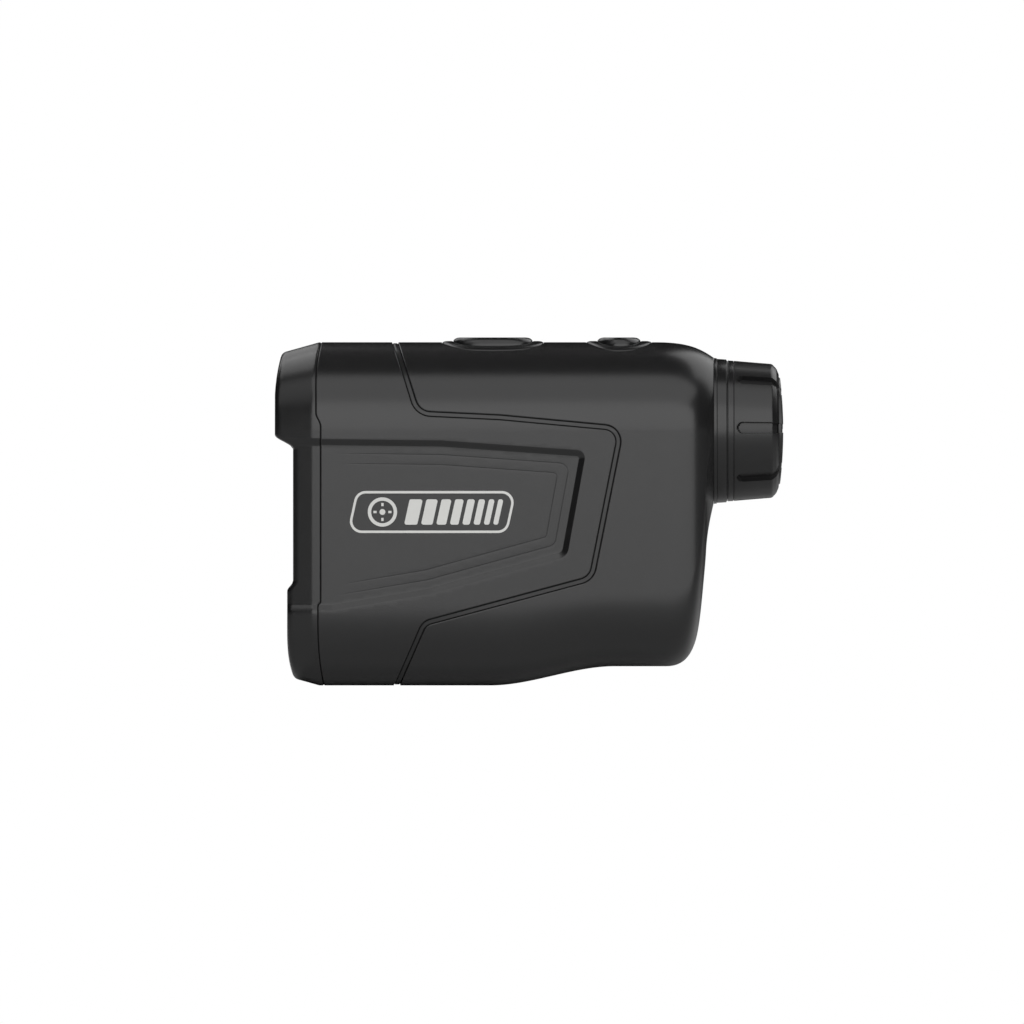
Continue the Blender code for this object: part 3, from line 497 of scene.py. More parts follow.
def material(name, colour, rough, metallic=0.0, grain=0.5, bump=0.08, mottle=0.06, wear=0.25,
             transmission=0.0, coat=0.0, specular=0.5):
    """Procedural finish: fine grain in the bump, patchy colour and gloss, lighter edges."""
    made = bpy.data.materials.new(name)
    made.use_nodes = True
    nodes, links = made.node_tree.nodes, made.node_tree.links
    shader = nodes["Principled BSDF"]
    for key, value in (("Metallic", metallic), ("Transmission Weight", transmission),
                       ("Coat Weight", coat), ("Specular IOR Level", specular)):
        shader.inputs[key].default_value = value
    place = nodes.new("ShaderNodeTexCoord")

    def add(kind, source, **values):
        node = nodes.new("ShaderNode" + kind)
        for key, value in values.items():
            node.inputs[key.replace("_", " ")].default_value = value
        links.new(source, node.inputs[{"TexNoise": "Vector", "MapRange": "Value", "Bump": "Height"}[kind]])
        return node.outputs[0]

    def noise(size_mm, detail):
        return add("TexNoise", place.outputs["Object"], Scale=1 / (size_mm * MM), Detail=detail)

    tone = nodes.new("ShaderNodeMix")
    tone.data_type = "RGBA"
    tone.inputs["A"].default_value = (*[c * (1 - mottle) for c in colour], 1)
    tone.inputs["B"].default_value = (*[c * (1 + mottle) for c in colour], 1)
    links.new(noise(9.0, 3.0), tone.inputs["Factor"])
    pointiness = nodes.new("ShaderNodeNewGeometry").outputs["Pointiness"]
    edge = add("MapRange", pointiness, From_Min=0.53, From_Max=0.7, To_Max=wear)
    worn = nodes.new("ShaderNodeMix")
    worn.data_type = "RGBA"
    worn.inputs["B"].default_value = (*[min(1.0, 0.02 + c * 1.8) for c in colour], 1)
    links.new(edge, worn.inputs["Factor"])
    links.new(tone.outputs["Result"], worn.inputs["A"])
    links.new(worn.outputs["Result"], shader.inputs["Base Color"])
    gloss = add("MapRange", noise(3.0, 4.0), From_Min=0.3, From_Max=0.7,
                To_Min=rough * 0.96, To_Max=rough * 1.04)
    links.new(gloss, shader.inputs["Roughness"])
    if bump:
        grained = add("Bump", noise(grain, 3.0), Strength=bump, Distance=0.05 * MM)
        links.new(grained, shader.inputs["Normal"])
    return made


LOOKS = {
    "black_shell": dict(colour=(0.012, 0.012, 0.0122), rough=0.25),
    "black_panel": dict(colour=(0.012, 0.012, 0.0122), rough=0.25),
    "soft_black": dict(colour=(0.010, 0.010, 0.0102), rough=0.26, grain=0.35, bump=0.05),
    "rubber": dict(colour=(0.009, 0.009, 0.0092), rough=0.30, grain=0.3),
    "coated_glass": dict(colour=(0.86, 0.93, 0.95), rough=0.02, bump=0.0, mottle=0.02, wear=0.0,
                         transmission=0.94, coat=0.6),
    "clear_glass": dict(colour=(0.95, 0.97, 0.97), rough=0.02, bump=0.0, mottle=0.01, wear=0.0,
                        transmission=1.0),
    "black_anodised": dict(colour=(0.012, 0.012, 0.013), rough=0.38, metallic=0.3, grain=0.2),
    "frame_plastic": dict(colour=(0.030, 0.030, 0.031), rough=0.50),
    "board_green": dict(colour=(0.012, 0.085, 0.040), rough=0.38, grain=0.8),
    "chip_black": dict(colour=(0.014, 0.014, 0.015), rough=0.45),
    "steel": dict(colour=(0.52, 0.52, 0.53), rough=0.28, metallic=1.0, mottle=0.08, grain=0.15),
    "brass": dict(colour=(0.62, 0.45, 0.20), rough=0.30, metallic=1.0, mottle=0.10, grain=0.15),
    "battery_wrap": dict(colour=(0.045, 0.110, 0.260), rough=0.32, mottle=0.08),
}
FINISHES = {name: material(name, **look) for name, look in LOOKS.items()}
JOINT_SHADOW = material("joint_shadow", (0.003, 0.003, 0.003), 0.8, wear=0.0, specular=0.15)


def girth_of_width(s, y):
    """Girth coordinate on the top arc at distance y from the middle."""
    _, top, bottom, half, foot = section(s)
    t1 = section_breaks(top, bottom, half, foot)[1]
    return t1 * 2 / math.pi * np.arcsin(np.clip(y / half, 0, 1))


def oval(button, grow, count, half=False):
    """Outline points (station, y) of a button, grown by a border."""
    centre, half_length, half_width, roundness = button
    if half:
        turn = np.linspace(math.pi, 0, count)
    else:
        turn = np.linspace(0, 2 * math.pi, count, endpoint=False)
    c, s = np.cos(turn), np.sin(turn)
    x = np.sign(c) * np.abs(c) ** (2 / roundness) * (half_length + grow)
    y = np.sign(s) * np.abs(s) ** (2 / roundness) * (half_width + grow)
    return np.stack([centre + x, y], axis=1)


def trim_notch(button):
    """Half outline of a trim plate's recess, front to rear, in (v, t)."""
    path = even(oval(button, TRIM_BORDER + TRIM_GAP, 90, True), 0.5)
    path = np.stack([path[:, 0], girth_of_width(path[:, 0], np.maximum(path[:, 1], 0))], axis=1)
    path[[0, -1], 1] = 0
    return path


def cap_notch():
    """Half outline of the battery cap's hole in the rear face, top to bottom, in (v, t)."""
    path = []
    top_index = np.searchsorted(TAIL_CURVE[:, 1], CAP_AXIS + CAP_HOLE)
    guess = np.array([REAR_START + TAIL_RUN[top_index], GIRTH])
    for angle in np.linspace(math.pi / 2, -math.pi / 2, 40):
        goal = np.array([CAP_HOLE * math.cos(angle), CAP_AXIS + CAP_HOLE * math.sin(angle)])
        if abs(math.cos(angle)) < 1e-6:
            reach = REAR_START + np.interp(goal[1], TAIL_CURVE[:, 1], TAIL_RUN)
            path.append((reach, GIRTH))
            guess = np.array([reach, GIRTH - 1.0])
            continue
        for _ in range(30):
            here = skin(guess[0], guess[1])[1:]
            step = 1e-3
            slope = np.stack([(skin(guess[0] + step, guess[1])[1:] - here) / step,
                              (skin(guess[0], guess[1] - step)[1:] - here) / -step], axis=1)
            move = np.linalg.solve(slope, goal - here)
            guess = guess + np.clip(move, -1.5, 1.5)
            guess[1] = min(guess[1], GIRTH - 1e-3)
        path.append(tuple(guess))
    return np.array(path)


def quads(rows, count, around=True, closed=False):
    """Faces between rows of points; around joins a row's ends, closed the last row to the first."""
    faces = []
    for i in range(rows if closed else rows - 1):
        here, there = i * count, (i + 1) % rows * count
        for k in range(count if around else count - 1):
            m = (k + 1) % count
            faces.append((here + k, here + m, there + m, there + k))
    return faces


def strip(rows, around=True, capped=False):
    """Points and faces of a surface through rows of points, capped or open at its end."""
    count = len(rows[0])
    faces = quads(len(rows), count, around)
    if capped:
        faces.append(tuple(range((len(rows) - 1) * count, len(rows) * count)))
    return np.vstack(rows), faces


def joined(parts):
    """Points and faces of several parts as one."""
    starts = np.cumsum([0] + [len(points) for points, _ in parts])
    faces = [tuple(start + i for i in face) for start, (_, group) in zip(starts, parts) for face in group]
    return np.vstack([points for points, _ in parts]), faces


def ring_mesh(name, rings, slot, body, nodes=(), caps=False, flat_deg=30, closed=False):
    """Skin over rings of equal point count."""
    rings = np.asarray(rings, float)
    rows, count = rings.shape[:2]
    faces = quads(rows, count, closed=closed)
    if caps:
        faces += [tuple(range(count))[::-1], tuple(range((rows - 1) * count, rows * count))]
    item = new_piece(name, rings.reshape(-1, 3), faces, FINISHES[slot], body, nodes)
    tidy_mesh(item, flat_deg)
    return item


def tidy_mesh(item, flat_deg):
    """Outward normals, and sharp edges where the surface really turns."""
    mesh = item.data
    bm = bmesh.new()
    bm.from_mesh(mesh)
    bmesh.ops.remove_doubles(bm, verts=bm.verts, dist=0.002 * MM)
    bmesh.ops.recalc_face_normals(bm, faces=bm.faces)
    bm.to_mesh(mesh)
    bm.free()
    mesh.set_sharp_from_angle(angle=math.radians(flat_deg))


def arc(a, corner, b, steps):
    """Curve from a to b that rounds the corner between them."""
    return [(1 - u) ** 2 * a + 2 * u * (1 - u) * corner + u * u * b for u in np.linspace(0, 1, steps + 1)]


def soften(profile, radius, steps=4):
    """Profile with each corner replaced by a small arc."""
    points = [np.array(p, float) for p in profile]
    out = [points[0]]
    for before, here, after in zip(points, points[1:], points[2:]):
        back, ahead = before - here, after - here
        reach = min(radius, 0.45 * np.linalg.norm(back), 0.45 * np.linalg.norm(ahead))
        a = here + back / np.linalg.norm(back) * reach
        b = here + ahead / np.linalg.norm(ahead) * reach
        out += arc(a, here, b, steps)
    out.append(points[-1])
    return out


def turned(profile, height):
    """Rings of a profile of (station, radius) points, turned about a line at the given height."""
    turn = np.linspace(0, 2 * math.pi, SIDES, endpoint=False)
    return [[(FRONT + s, r * math.cos(a), height + r * math.sin(a)) for a in turn] for s, r in profile]


def lathe(name, profile, height, slot, body, node, radius):
    """Turned piece with a closed profile and softened corners."""
    profile = soften([profile[-1]] + list(profile) + [profile[0]], radius)[1:-1]
    ring_mesh(name, turned(profile, height), slot, body, [node], closed=True)


def crown(y):
    return EYE_AXIS + (BODY_TOP - EYE_AXIS) * np.sqrt(1 - (y / HALF_WIDTH) ** 2)


def crowned(name, button, rows, slot, body, nodes, closed):
    """Piece whose rings follow a button's outline.

    Rows are (grow, offset above the body's crown, level); level 1 makes the ring flat.
    """
    rings = []
    for grow, offset, level in rows:
        path = oval(button, grow, 128)
        height = crown(path[:, 1]) * (1 - level) + BODY_TOP * level
        rings.append(np.stack([FRONT + path[:, 0], path[:, 1], height + offset], axis=1))
    if not closed:
        centre = rings[-1].mean(axis=0)
        for share in (0.66, 0.33, 0.02):
            rings.append(centre + (rings[-1] - centre) * share)
    ring_mesh(name, rings, slot, body, nodes, caps=not closed, closed=closed)


BAND_STEPS = 300


def band(name, path_at, outline, slot, nodes=(), in_panel=False):
    """Ring around the body along a path: its section is an outline of (distance, depth) points."""
    rows = []
    for distance, depth in outline:
        path = path_at(distance)
        run = np.concatenate([[0], np.cumsum(np.linalg.norm(np.diff(path, axis=0), axis=1))])
        at = np.linspace(0, run[-1], BAND_STEPS)
        v, t = np.interp(at, run, path[:, 0]), np.interp(at, run, path[:, 1])
        t[[0, -1]] = (0, GIRTH)
        bare = skin(v, t)
        under = depth + 0 * v
        if in_panel:
            under += panel_depth(bare[:, 0] - FRONT, bare[:, 2])
        rows.append(bare - skin_normals(v, t) * under[:, None])
    half = np.stack(rows, axis=1)
    half[[0, -1], :, 1] = 0
    mirrored = half[-2:0:-1] * (1, -1, 1)
    return ring_mesh(name, np.vstack([half, mirrored]), slot, "body", nodes, closed=True)


def joint_floor(name, path_at, start, end, depth):
    """Shadowed floor of a joint, just under the surface."""
    outline = [(start, depth), (end, depth), (end, WALL + 0.1), (start, WALL + 0.1)]
    item = band(name, path_at, outline, "black_shell", (), True)
    item.data.materials[0] = JOINT_SHADOW


def bend(z, start, length, power):
    """Growth from 0 at a height to 1 a length further up; a negative length runs down."""
    return np.clip((z - start) / length, 0, 1) ** power


def bezel_seam(z):
    """Station of the joint between bezel and front housing; it jogs beside the side panel."""
    jog = 9.22 - 0.95 * smooth((z - 53.1) / 2.7) - 0.54 * smooth((17.0 - z) / 0.7)
    return jog + 1.17 * bend(z, 60, 10.25, 2.5) + 1.32 * bend(z, 16.3, -16.3, 3)


def bezel_crease(z):
    """Station where the bezel starts to narrow towards the front."""
    return 7.62 + 1.45 * bend(z, 58, 12.25, 2.5) + 1.45 * bend(z, 14, -14, 3)


def bezel_face(z):
    """Station of the bezel's front at a height: two hoods with a wall set back between them."""
    hood = np.maximum(0.02, 0.00042 * np.maximum(z - 52.6, 0) ** 3 - 0.12)
    lower = 2.55 + 0.0012 * np.maximum(12 - z, 0) ** 3
    face = hood + (FACE_STATION - hood) * smooth((51.3 - z) / 2.9)
    return np.where(z < 36, FACE_STATION + (lower - FACE_STATION) * smooth((21.4 - z) / 2.1), face)


def seam_at(shift):
    """Path of the bezel joint from top to foot in (v, t), moved to the rear by a shift."""
    ends = ((0, 30, 60), (30, 66, 160), (66, GIRTH, 60))
    t = np.unique(np.concatenate([np.linspace(a, b, count) for a, b, count in ends]))
    z = skin(np.full(len(t), PLAIN_STATION), t)[:, 2]
    return np.stack([bezel_seam(z) + shift, t], axis=1)


def face_half(outline, circles, spacing, station):
    """Half of a plate across the body (y >= 0): the outline from top to foot, with round holes."""
    loop = [outline]
    turn = np.linspace(-math.pi / 2, math.pi / 2, HOOD_STEPS)
    for height, radius in sorted(circles):
        loop.append(np.stack([radius * np.abs(np.cos(turn)), height + radius * np.sin(turn)], axis=1))
    loop = np.vstack(loop)
    loop[np.abs(loop[:, 0]) < 1e-9, 0] = 0
    points, faces = triangles(loop, filling(loop, spacing, 0.3 * spacing))
    return np.stack([FRONT + station(points[:, 1]), points[:, 0], points[:, 1]], axis=1), faces


def make_bezel():
    """Front bezel: side skin with crease and panel, rounded front edge, hoods and sockets."""
    joint, t = seam_at(-JOINT_GAP / 2).T
    plain = np.full(len(t), PLAIN_STATION)
    bare, normal = skin(plain, t), skin_normals(plain, t)
    crease = bezel_crease(bare[:, 2])

    def side(s, extra=0.0):
        ahead = crease - s
        inset = FRONT_SLOPE * (np.sqrt(ahead ** 2 + 0.01) + ahead) / 2
        depth = panel_depth(s, bare[:, 2]) + inset + extra
        return np.stack([FRONT + s, bare[:, 1], bare[:, 2]], axis=1) - normal * depth[:, None]

    corner = np.full(len(t), 2.0)
    for _ in range(40):
        corner = 0.5 * corner + 0.5 * bezel_face(side(corner)[:, 2])
    start = corner + FRONT_ROUNDING
    rows = [side(joint - back, depth) for back, depth in BEZEL_LIP]
    lip_end = joint - BEZEL_LIP[-1][0]
    rows += [side(lip_end + (start - lip_end) * share) for share in np.linspace(0, 1, 22)[1:]]
    tip = side(corner)
    tip[:, 0] = FRONT + corner
    inner = tip - normal * FRONT_ROUNDING
    inner[:, 0] = FRONT + bezel_face(inner[:, 2])
    rows += arc(rows[-1], tip, inner, 7)[1:]
    back = side(np.full(len(t), BEZEL_BACK), WALL)
    for row in rows + [back]:
        row[[0, -1], 1] = 0
    openings = [(height, bore + HOOD_EDGE) for height, bore, _ in HOODS]
    sockets = [(height, socket) for height, _, socket in HOODS]
    parts = [strip(rows, False), face_half(rows[-1][:, 1:], openings, 0.62, bezel_face),
             strip([rows[0], back], False),
             face_half(back[:, 1:], sockets, 2.0, lambda z: np.full(len(z), BEZEL_BACK))]
    turn = np.linspace(-math.pi / 2, math.pi / 2, HOOD_STEPS)
    cos, sin = np.abs(np.cos(turn)), np.sin(turn)
    cos[[0, -1]] = 0

    def circle(height, radius, station):
        return np.stack([FRONT + station + 0 * cos, radius * cos, height + radius * sin], axis=1)

    for height, bore, socket in HOODS:
        outer = bore + HOOD_EDGE
        face = bezel_face(height + bore * sin)
        front = circle(height, outer, bezel_face(height + outer * sin))
        deep = circle(height, bore, face + HOOD_EDGE)
        steps = ((bore, (face + HOOD_EDGE + SOCKET_FLOOR) / 2), (bore, SOCKET_FLOOR - 0.1),
                 (bore - 0.1, SOCKET_FLOOR), (socket + 0.1, SOCKET_FLOOR), (socket, SOCKET_FLOOR + 0.1),
                 (socket, BEZEL_BACK))
        parts.append(strip(arc(front, circle(height, bore, face), deep, 5)
                           + [circle(height, radius, station) for radius, station in steps], False))
    points, faces = joined(parts)
    both = np.vstack([points, points * (1, -1, 1)])
    mirror = [tuple(i + len(points) for i in f[::-1]) for f in faces]
    item = new_piece("front_bezel_shell", both, faces + mirror, FINISHES["soft_black"], "body",
                     ["front_bezel"])
    tidy_mesh(item, 32)


def make_housings():
    """Both housings, the seal strip in the seam, the floors of the joints and the battery well."""
    rear = seam_path(0.0)
    end = TAIL_END + RIM_RADIUS - RIM_BORE
    hole = cap_notch()
    sides = []
    reached = rear[0, 0]
    for button in (MEASURE, MODE):
        notch = trim_notch(button)
        sides += [(straight((reached, 0), (button[0] - button[1] - TRIM_BORDER - TRIM_GAP, 0)), False),
                  (notch, True)]
        reached = notch[-1, 0]
    sides += [(straight((reached, 0), (end, 0)), False), (straight((end, 0), (end, GIRTH)), False),
              (straight((end, GIRTH), hole[0]), False), (hole, True),
              (straight(hole[-1], (rear[-1, 0], GIRTH)), False), (rear[::-1], True)]
    half_shell("rear_housing_shell", sides, FINISHES["black_shell"], "rear_housing", False)
    edge = seam_path(SEAM_FRONT)
    joint = seam_at(JOINT_GAP / 2)[::-1]
    sides = [(straight((joint[-1, 0], 0), (edge[0, 0], 0)), False), (edge, True),
             (straight((edge[-1, 0], GIRTH), (joint[0, 0], GIRTH)), False), (joint, True)]
    half_shell("front_housing_shell", sides, FINISHES["black_panel"], "front_housing", True)
    low, high, top = SEAL_FROM, SEAL_TO, SEAL_RECESS
    outline = [(low, 1.7), (low, top + 0.08), (low + 0.03, top + 0.03), (low + 0.08, top),
               (high - 0.08, top), (high - 0.03, top + 0.03), (high, top + 0.08), (high, 1.7)]
    band("seam_seal", seam_path, outline, "rubber", ["housing_seal"])
    joint_floor("seam_floor", seam_path, 0.02, SEAM_FRONT - 0.02, GROOVE_DEPTH)
    joint_floor("bezel_joint_floor", seam_at, 0.01 - JOINT_GAP / 2, JOINT_GAP / 2 - 0.01, 0.14)
    half = skin(hole[:, 0], hole[:, 1])
    half[[0, -1], 1] = 0
    ring = np.vstack([half, half[-2:0:-1] * (1, -1, 1)])
    grown = ring.copy()
    centre = np.array([0, CAP_AXIS])
    grown[:, 1:] = centre + (ring[:, 1:] - centre) * (1 + WELL_WALL / CAP_HOLE)
    shallow, deep, far = ring - (0.15, 0, 0), ring.copy(), grown.copy()
    deep[:, 0] = far[:, 0] = FRONT + REAR_START
    grown[:, 0] -= 2.2
    ring_mesh("battery_well", [shallow, deep, far, grown], "black_shell", "body", closed=True)


def make_buttons():
    """Trim plates and button caps; a cap has a flat chamfered rim round a shallow dish."""
    border = TRIM_BORDER
    trim = [(TRIM_GAP, -0.9), (TRIM_GAP, 0.16), (TRIM_GAP + 0.05, 0.22), (0.4, 0.25), (border - 0.8, 0.24),
            (border - 0.4, 0.18), (border - 0.12, 0.06), (border - 0.03, -0.02),
            (border, -0.1), (border, -0.9)]
    cap = [(0.0, -2.2, 0.0), (0.0, 0.2, 0.0), (-0.04, 0.4, 0.1), (-0.25, 0.62, 0.25), (-0.5, 0.8, 0.45),
           (-0.8, 0.9, 0.7), (-1.15, 0.96, 0.92), (-1.35, 0.98, 1.0), (-1.8, 0.98, 1.0), (-2.0, 0.95, 1.0),
           (-2.4, 0.83, 1.0), (-2.7, 0.77, 1.0), (-3.0, 0.74, 1.0)]
    rows = [(grow, offset, 0.0) for grow, offset in trim]
    for name, shape in (("measure", MEASURE), ("mode", MODE)):
        button = f"{name}_button"
        crowned(f"{name}_trim_plate", shape, rows, "soft_black", "body", [f"{name}_trim"], True)
        crowned(f"{name}_button_cap", shape, cap, "soft_black", button, [button], False)


def glass(name, node, start, end, radius, front_bulge, rear_bulge, height, body):
    """Lens with a polished rim and domed faces."""
    shares = np.linspace(0.02, 1, 18)
    front = [(start - front_bulge * (1 - k * k), radius * k) for k in shares]
    rear = [(end + rear_bulge * (1 - k * k), radius * k) for k in shares[::-1]]
    ring_mesh(name, turned(front + rear, height), "coated_glass", body, [node], caps=True)


def make_optics():
    """Both front tubes with light baffles inside, their retaining rings and the lenses."""
    for tag, axis, outer, seat, bore, end in (
            ("objective", EYE_AXIS, 12.6, 11.8, 10.6, [(36.0, 10.6), (36.0, 12.6)]),
            ("receiver", RECEIVER_AXIS, 11.4, 10.55, 9.2,
             [(28.6, 9.2), (28.6, 4.5), (30.0, 4.5), (30.0, 11.4)])):
        baffles = [(10.9 + 1.1 * i, bore - 0.35 * (i % 2)) for i in range(1, 14)]
        tube = [(5.4, seat), (10.9, seat), (10.9, bore)] + baffles + end + [(5.4, outer)]
        ring = [(5.7, seat - 0.35), (6.3, seat - 1.2), (7.7, seat - 1.2), (7.7, seat - 0.3)]
        lathe(f"{tag}_tube", tube, axis, "black_anodised", "body", f"{tag}_barrel", 0.12)
        lathe(f"{tag}_ring", ring, axis, "black_anodised", "body", f"{tag}_retainer", 0.1)
    glass("objective_glass", "objective_lens", 8.0, 10.3, 11.4, 1.2, 0.3, EYE_AXIS, "body")
    glass("receiver_glass", "receiver_lens", 8.0, 10.6, 10.2, 1.1, 0.3, RECEIVER_AXIS, "body")
    glass("eye_glass", "eye_lens", 91.9, 93.9, 8.15, 0.5, 1.4, EYE_AXIS, "ocular")


def make_eyepiece():
    """Collar, diopter sleeve and the ocular's tube and ring."""
    collar = [(86.6, 10.4), (98.2, 10.4), (98.2, 11.1), (92.85, 11.1), (92.85, 13.9), (92.6, 13.9),
              (92.6, 14.3), (92.46, 14.34), (92.36, 14.62), (90.5, 14.74), (90.44, 14.66), (90.38, 14.88),
              (89.79, 14.94), (89.79, 11.7), (82.6, 11.7), (82.6, 10.4)]
    sleeve = [(92.95, 11.4), (94.1, 11.4), (94.1, 11.9), (97.9, 11.9), (97.9, 11.4), (98.5, 11.4),
              (98.5, 10.6), (99.5, 10.6), (99.5, 12.4), (93.96, 12.4), (93.96, 14.1), (93.84, 14.1),
              (93.82, 14.35), (92.72, 14.42), (92.64, 14.36), (92.64, 13.98), (92.95, 13.98)]
    tube = [(85.0, 8.5), (97.2, 8.5), (97.2, 10.1), (83.6, 10.1), (83.6, 7.4), (85.0, 7.4)]
    ring = [(94.2, 7.9), (95.0, 7.2), (95.0, 8.2), (94.2, 8.2)]
    lathe("collar", collar, EYE_AXIS, "soft_black", "body", "eyepiece_collar", 0.05)
    lathe("diopter_sleeve", sleeve, EYE_AXIS, "soft_black", "eyecup_ring", "diopter_ring", 0.05)
    lathe("ocular_tube", tube, EYE_AXIS, "black_anodised", "ocular", "eyepiece_cell", 0.1)
    lathe("ocular_ring", ring, EYE_AXIS, "black_anodised", "ocular", "cell_retainer", 0.08)


CUP_OUTER = ((93.89, 14.25), (93.95, 14.34), (101.5, 13.72), (101.8, 13.6), (102.6, 12.75), (103.0, 11.8),
             (103.1, 11.5))
CUP_LIP = ((103.2, 11.15), (103.75, 11.0), (103.97, 10.8), (103.99, 10.5), (103.9, 9.9), (103.0, 9.35),
           (101.5, 9.1), (99.8, 9.0), (99.8, 12.7), (93.9, 12.7))
CUP_SLOTS = 8
CUP_SLOT_WIDTH = 2.3
CUP_SLOT_START = 94.6
CUP_SLOT_DEPTH = 1.05
CUP_SLOT_TURN = 2.7       # degrees from the mid plane to the first slot
CUP_MEAN_RADIUS = 14.0
# distances of the cup's points from a slot's middle
CUP_ACROSS = (0, 0.4, 0.8, 1.0, 1.07, 1.11, 1.15, 1.19, 1.24, 1.4, 1.9, 2.6, 3.4, 4.4)


def make_eyecup():
    """Rubber eyecup: a turned skin with grip slots that run out at the rear edge."""
    outer = even(np.array(soften(CUP_OUTER, 0.25, 5)), 0.22)
    lip = np.array(soften(CUP_LIP, 0.25, 4))
    half = CUP_SLOT_WIDTH / 2
    across = np.array(CUP_ACROSS) / CUP_MEAN_RADIUS
    offset = np.concatenate([-across[:0:-1], across])
    slots = np.arange(CUP_SLOTS) * 2 * math.pi / CUP_SLOTS - math.radians(CUP_SLOT_TURN)
    turns = np.add.outer(slots, offset).ravel()
    width = np.tile(np.abs(offset), CUP_SLOTS) * CUP_MEAN_RADIUS
    cos, sin = np.cos(turns), np.sin(turns)
    rings = []
    for k, (s, r) in enumerate(np.vstack([outer, lip])):
        gap = np.sqrt(width ** 2 + np.maximum(CUP_SLOT_START + half - s, 0) ** 2) - half
        share = 1 - smooth((gap + 0.04) / 0.08)
        cut = back = 0.0
        if k < len(outer):
            cut = CUP_SLOT_DEPTH * share * (0.9 if s > 102.6 else 1.0)
        elif r > 9.2 and s > 103.1:
            back = 0.15 * share
        if s > 103.15:
            back = back + 0.55 * (r * sin / 10.3) ** 2
        radius = r - cut
        ring = [FRONT + s - back + 0 * cos, radius * cos, EYE_AXIS + radius * sin]
        rings.append(np.stack(ring, axis=1))
    ring_mesh("eyecup_skin", rings, "rubber", "eyecup_ring", ["eyecup"], flat_deg=38, closed=True)


CAP_FACE = 85.5
CAP_FLAT = 8.3            # radius of the face inside its rounded edge
COIN_REACH, COIN_HALF = 5.3, 0.9


def make_cap():
    """Battery cap with a coin slot in its face."""
    turn = np.linspace(0, 2 * math.pi, SIDES, endpoint=False)
    circle = np.stack([np.cos(turn), np.sin(turn)], axis=1)
    end = np.linspace(-math.pi / 2, math.pi / 2, 12)
    right = np.stack([COIN_REACH + COIN_HALF * np.cos(end), COIN_HALF * np.sin(end)], axis=1)
    slot = even(close(np.vstack([right, -right])), 0.6)[:-1]
    rim = slot + np.sign(slot) * 0.12
    grid = filling(circle * CAP_FLAT, 1.2, 0.4)
    grid = grid[~inside(grid, rim * 1.15) & (distance_to(grid, close(rim)) > 0.4)]
    points, faces = triangles(circle * CAP_FLAT, grid, [rim])

    def level(path, station):
        return np.stack([np.full(len(path), FRONT + station), path[:, 0], CAP_AXIS + path[:, 1]], axis=1)

    steps = ((rim, CAP_FACE), (rim * 0.4 + slot * 0.6, 85.44), (slot, 85.3), (slot, 84.3))
    edge = ((CAP_FLAT, CAP_FACE), (8.5, 85.46), (8.65, 85.32), (8.7, 85.1), (8.7, 83.3), (8.6, 83.2),
            (7.3, 83.2), (7.3, 79.6))
    verts, faces = joined([(level(points, CAP_FACE), faces),
                           strip([level(path, s) for path, s in steps], capped=True),
                           strip([level(circle * r, s) for r, s in edge], capped=True)])
    item = new_piece("cap_head", verts, faces, FINISHES["soft_black"], "cap", ["battery_cap"])
    tidy_mesh(item, 32)


BADGE_SLANT = 0.22
BADGE_LOW, BADGE_HIGH = (15.6, 31.2), (48.4, 39.8)
BADGE_RING = (3.0, 2.3, 0.6)    # outer and inner radius, radius of the dot
BADGE_TICK = ((-0.24, 1.2), (0.24, 1.2), (0.24, 1.85), (-0.24, 1.85))
BARS, BAR_WIDTH, BAR_RATIO, BAR_GAP = 8, 2.7, 0.87, 0.75
BAR_INSET = 1.7


def plate(name, shapes, side, low, high, finish):
    """Plates on a side panel: shapes are (outline, holes), low and high are distances out."""
    parts = []
    for outline, holes in shapes:
        points, faces = triangles(outline, np.zeros((0, 2)), holes)
        parts.append((np.insert(points, 1, high, axis=1), faces))
        for path in [outline, *holes]:
            parts.append(strip([np.insert(path, 1, out, axis=1) for out in (high, low)]))
    verts, faces = joined(parts)
    if side > 0:
        verts[:, 0] = BADGE_LOW[0] + BADGE_HIGH[0] - verts[:, 0]
    placed = verts * (1, side, 1) + (FRONT, 0, 0)
    tidy_mesh(new_piece(name, placed, faces, finish, "body", ()), 32)


def slanted(low, high, radius):
    """Outline of an upright bar that leans like an italic letter, with rounded corners."""
    middle = (BADGE_LOW[1] + BADGE_HIGH[1]) / 2
    corners = [(x + BADGE_SLANT * (z - middle), z, radius)
               for x, z in ((low[0], low[1]), (low[0], high[1]), (high[0], high[1]), (high[0], low[1]))]
    return rounded(corners, 8)[::-1]


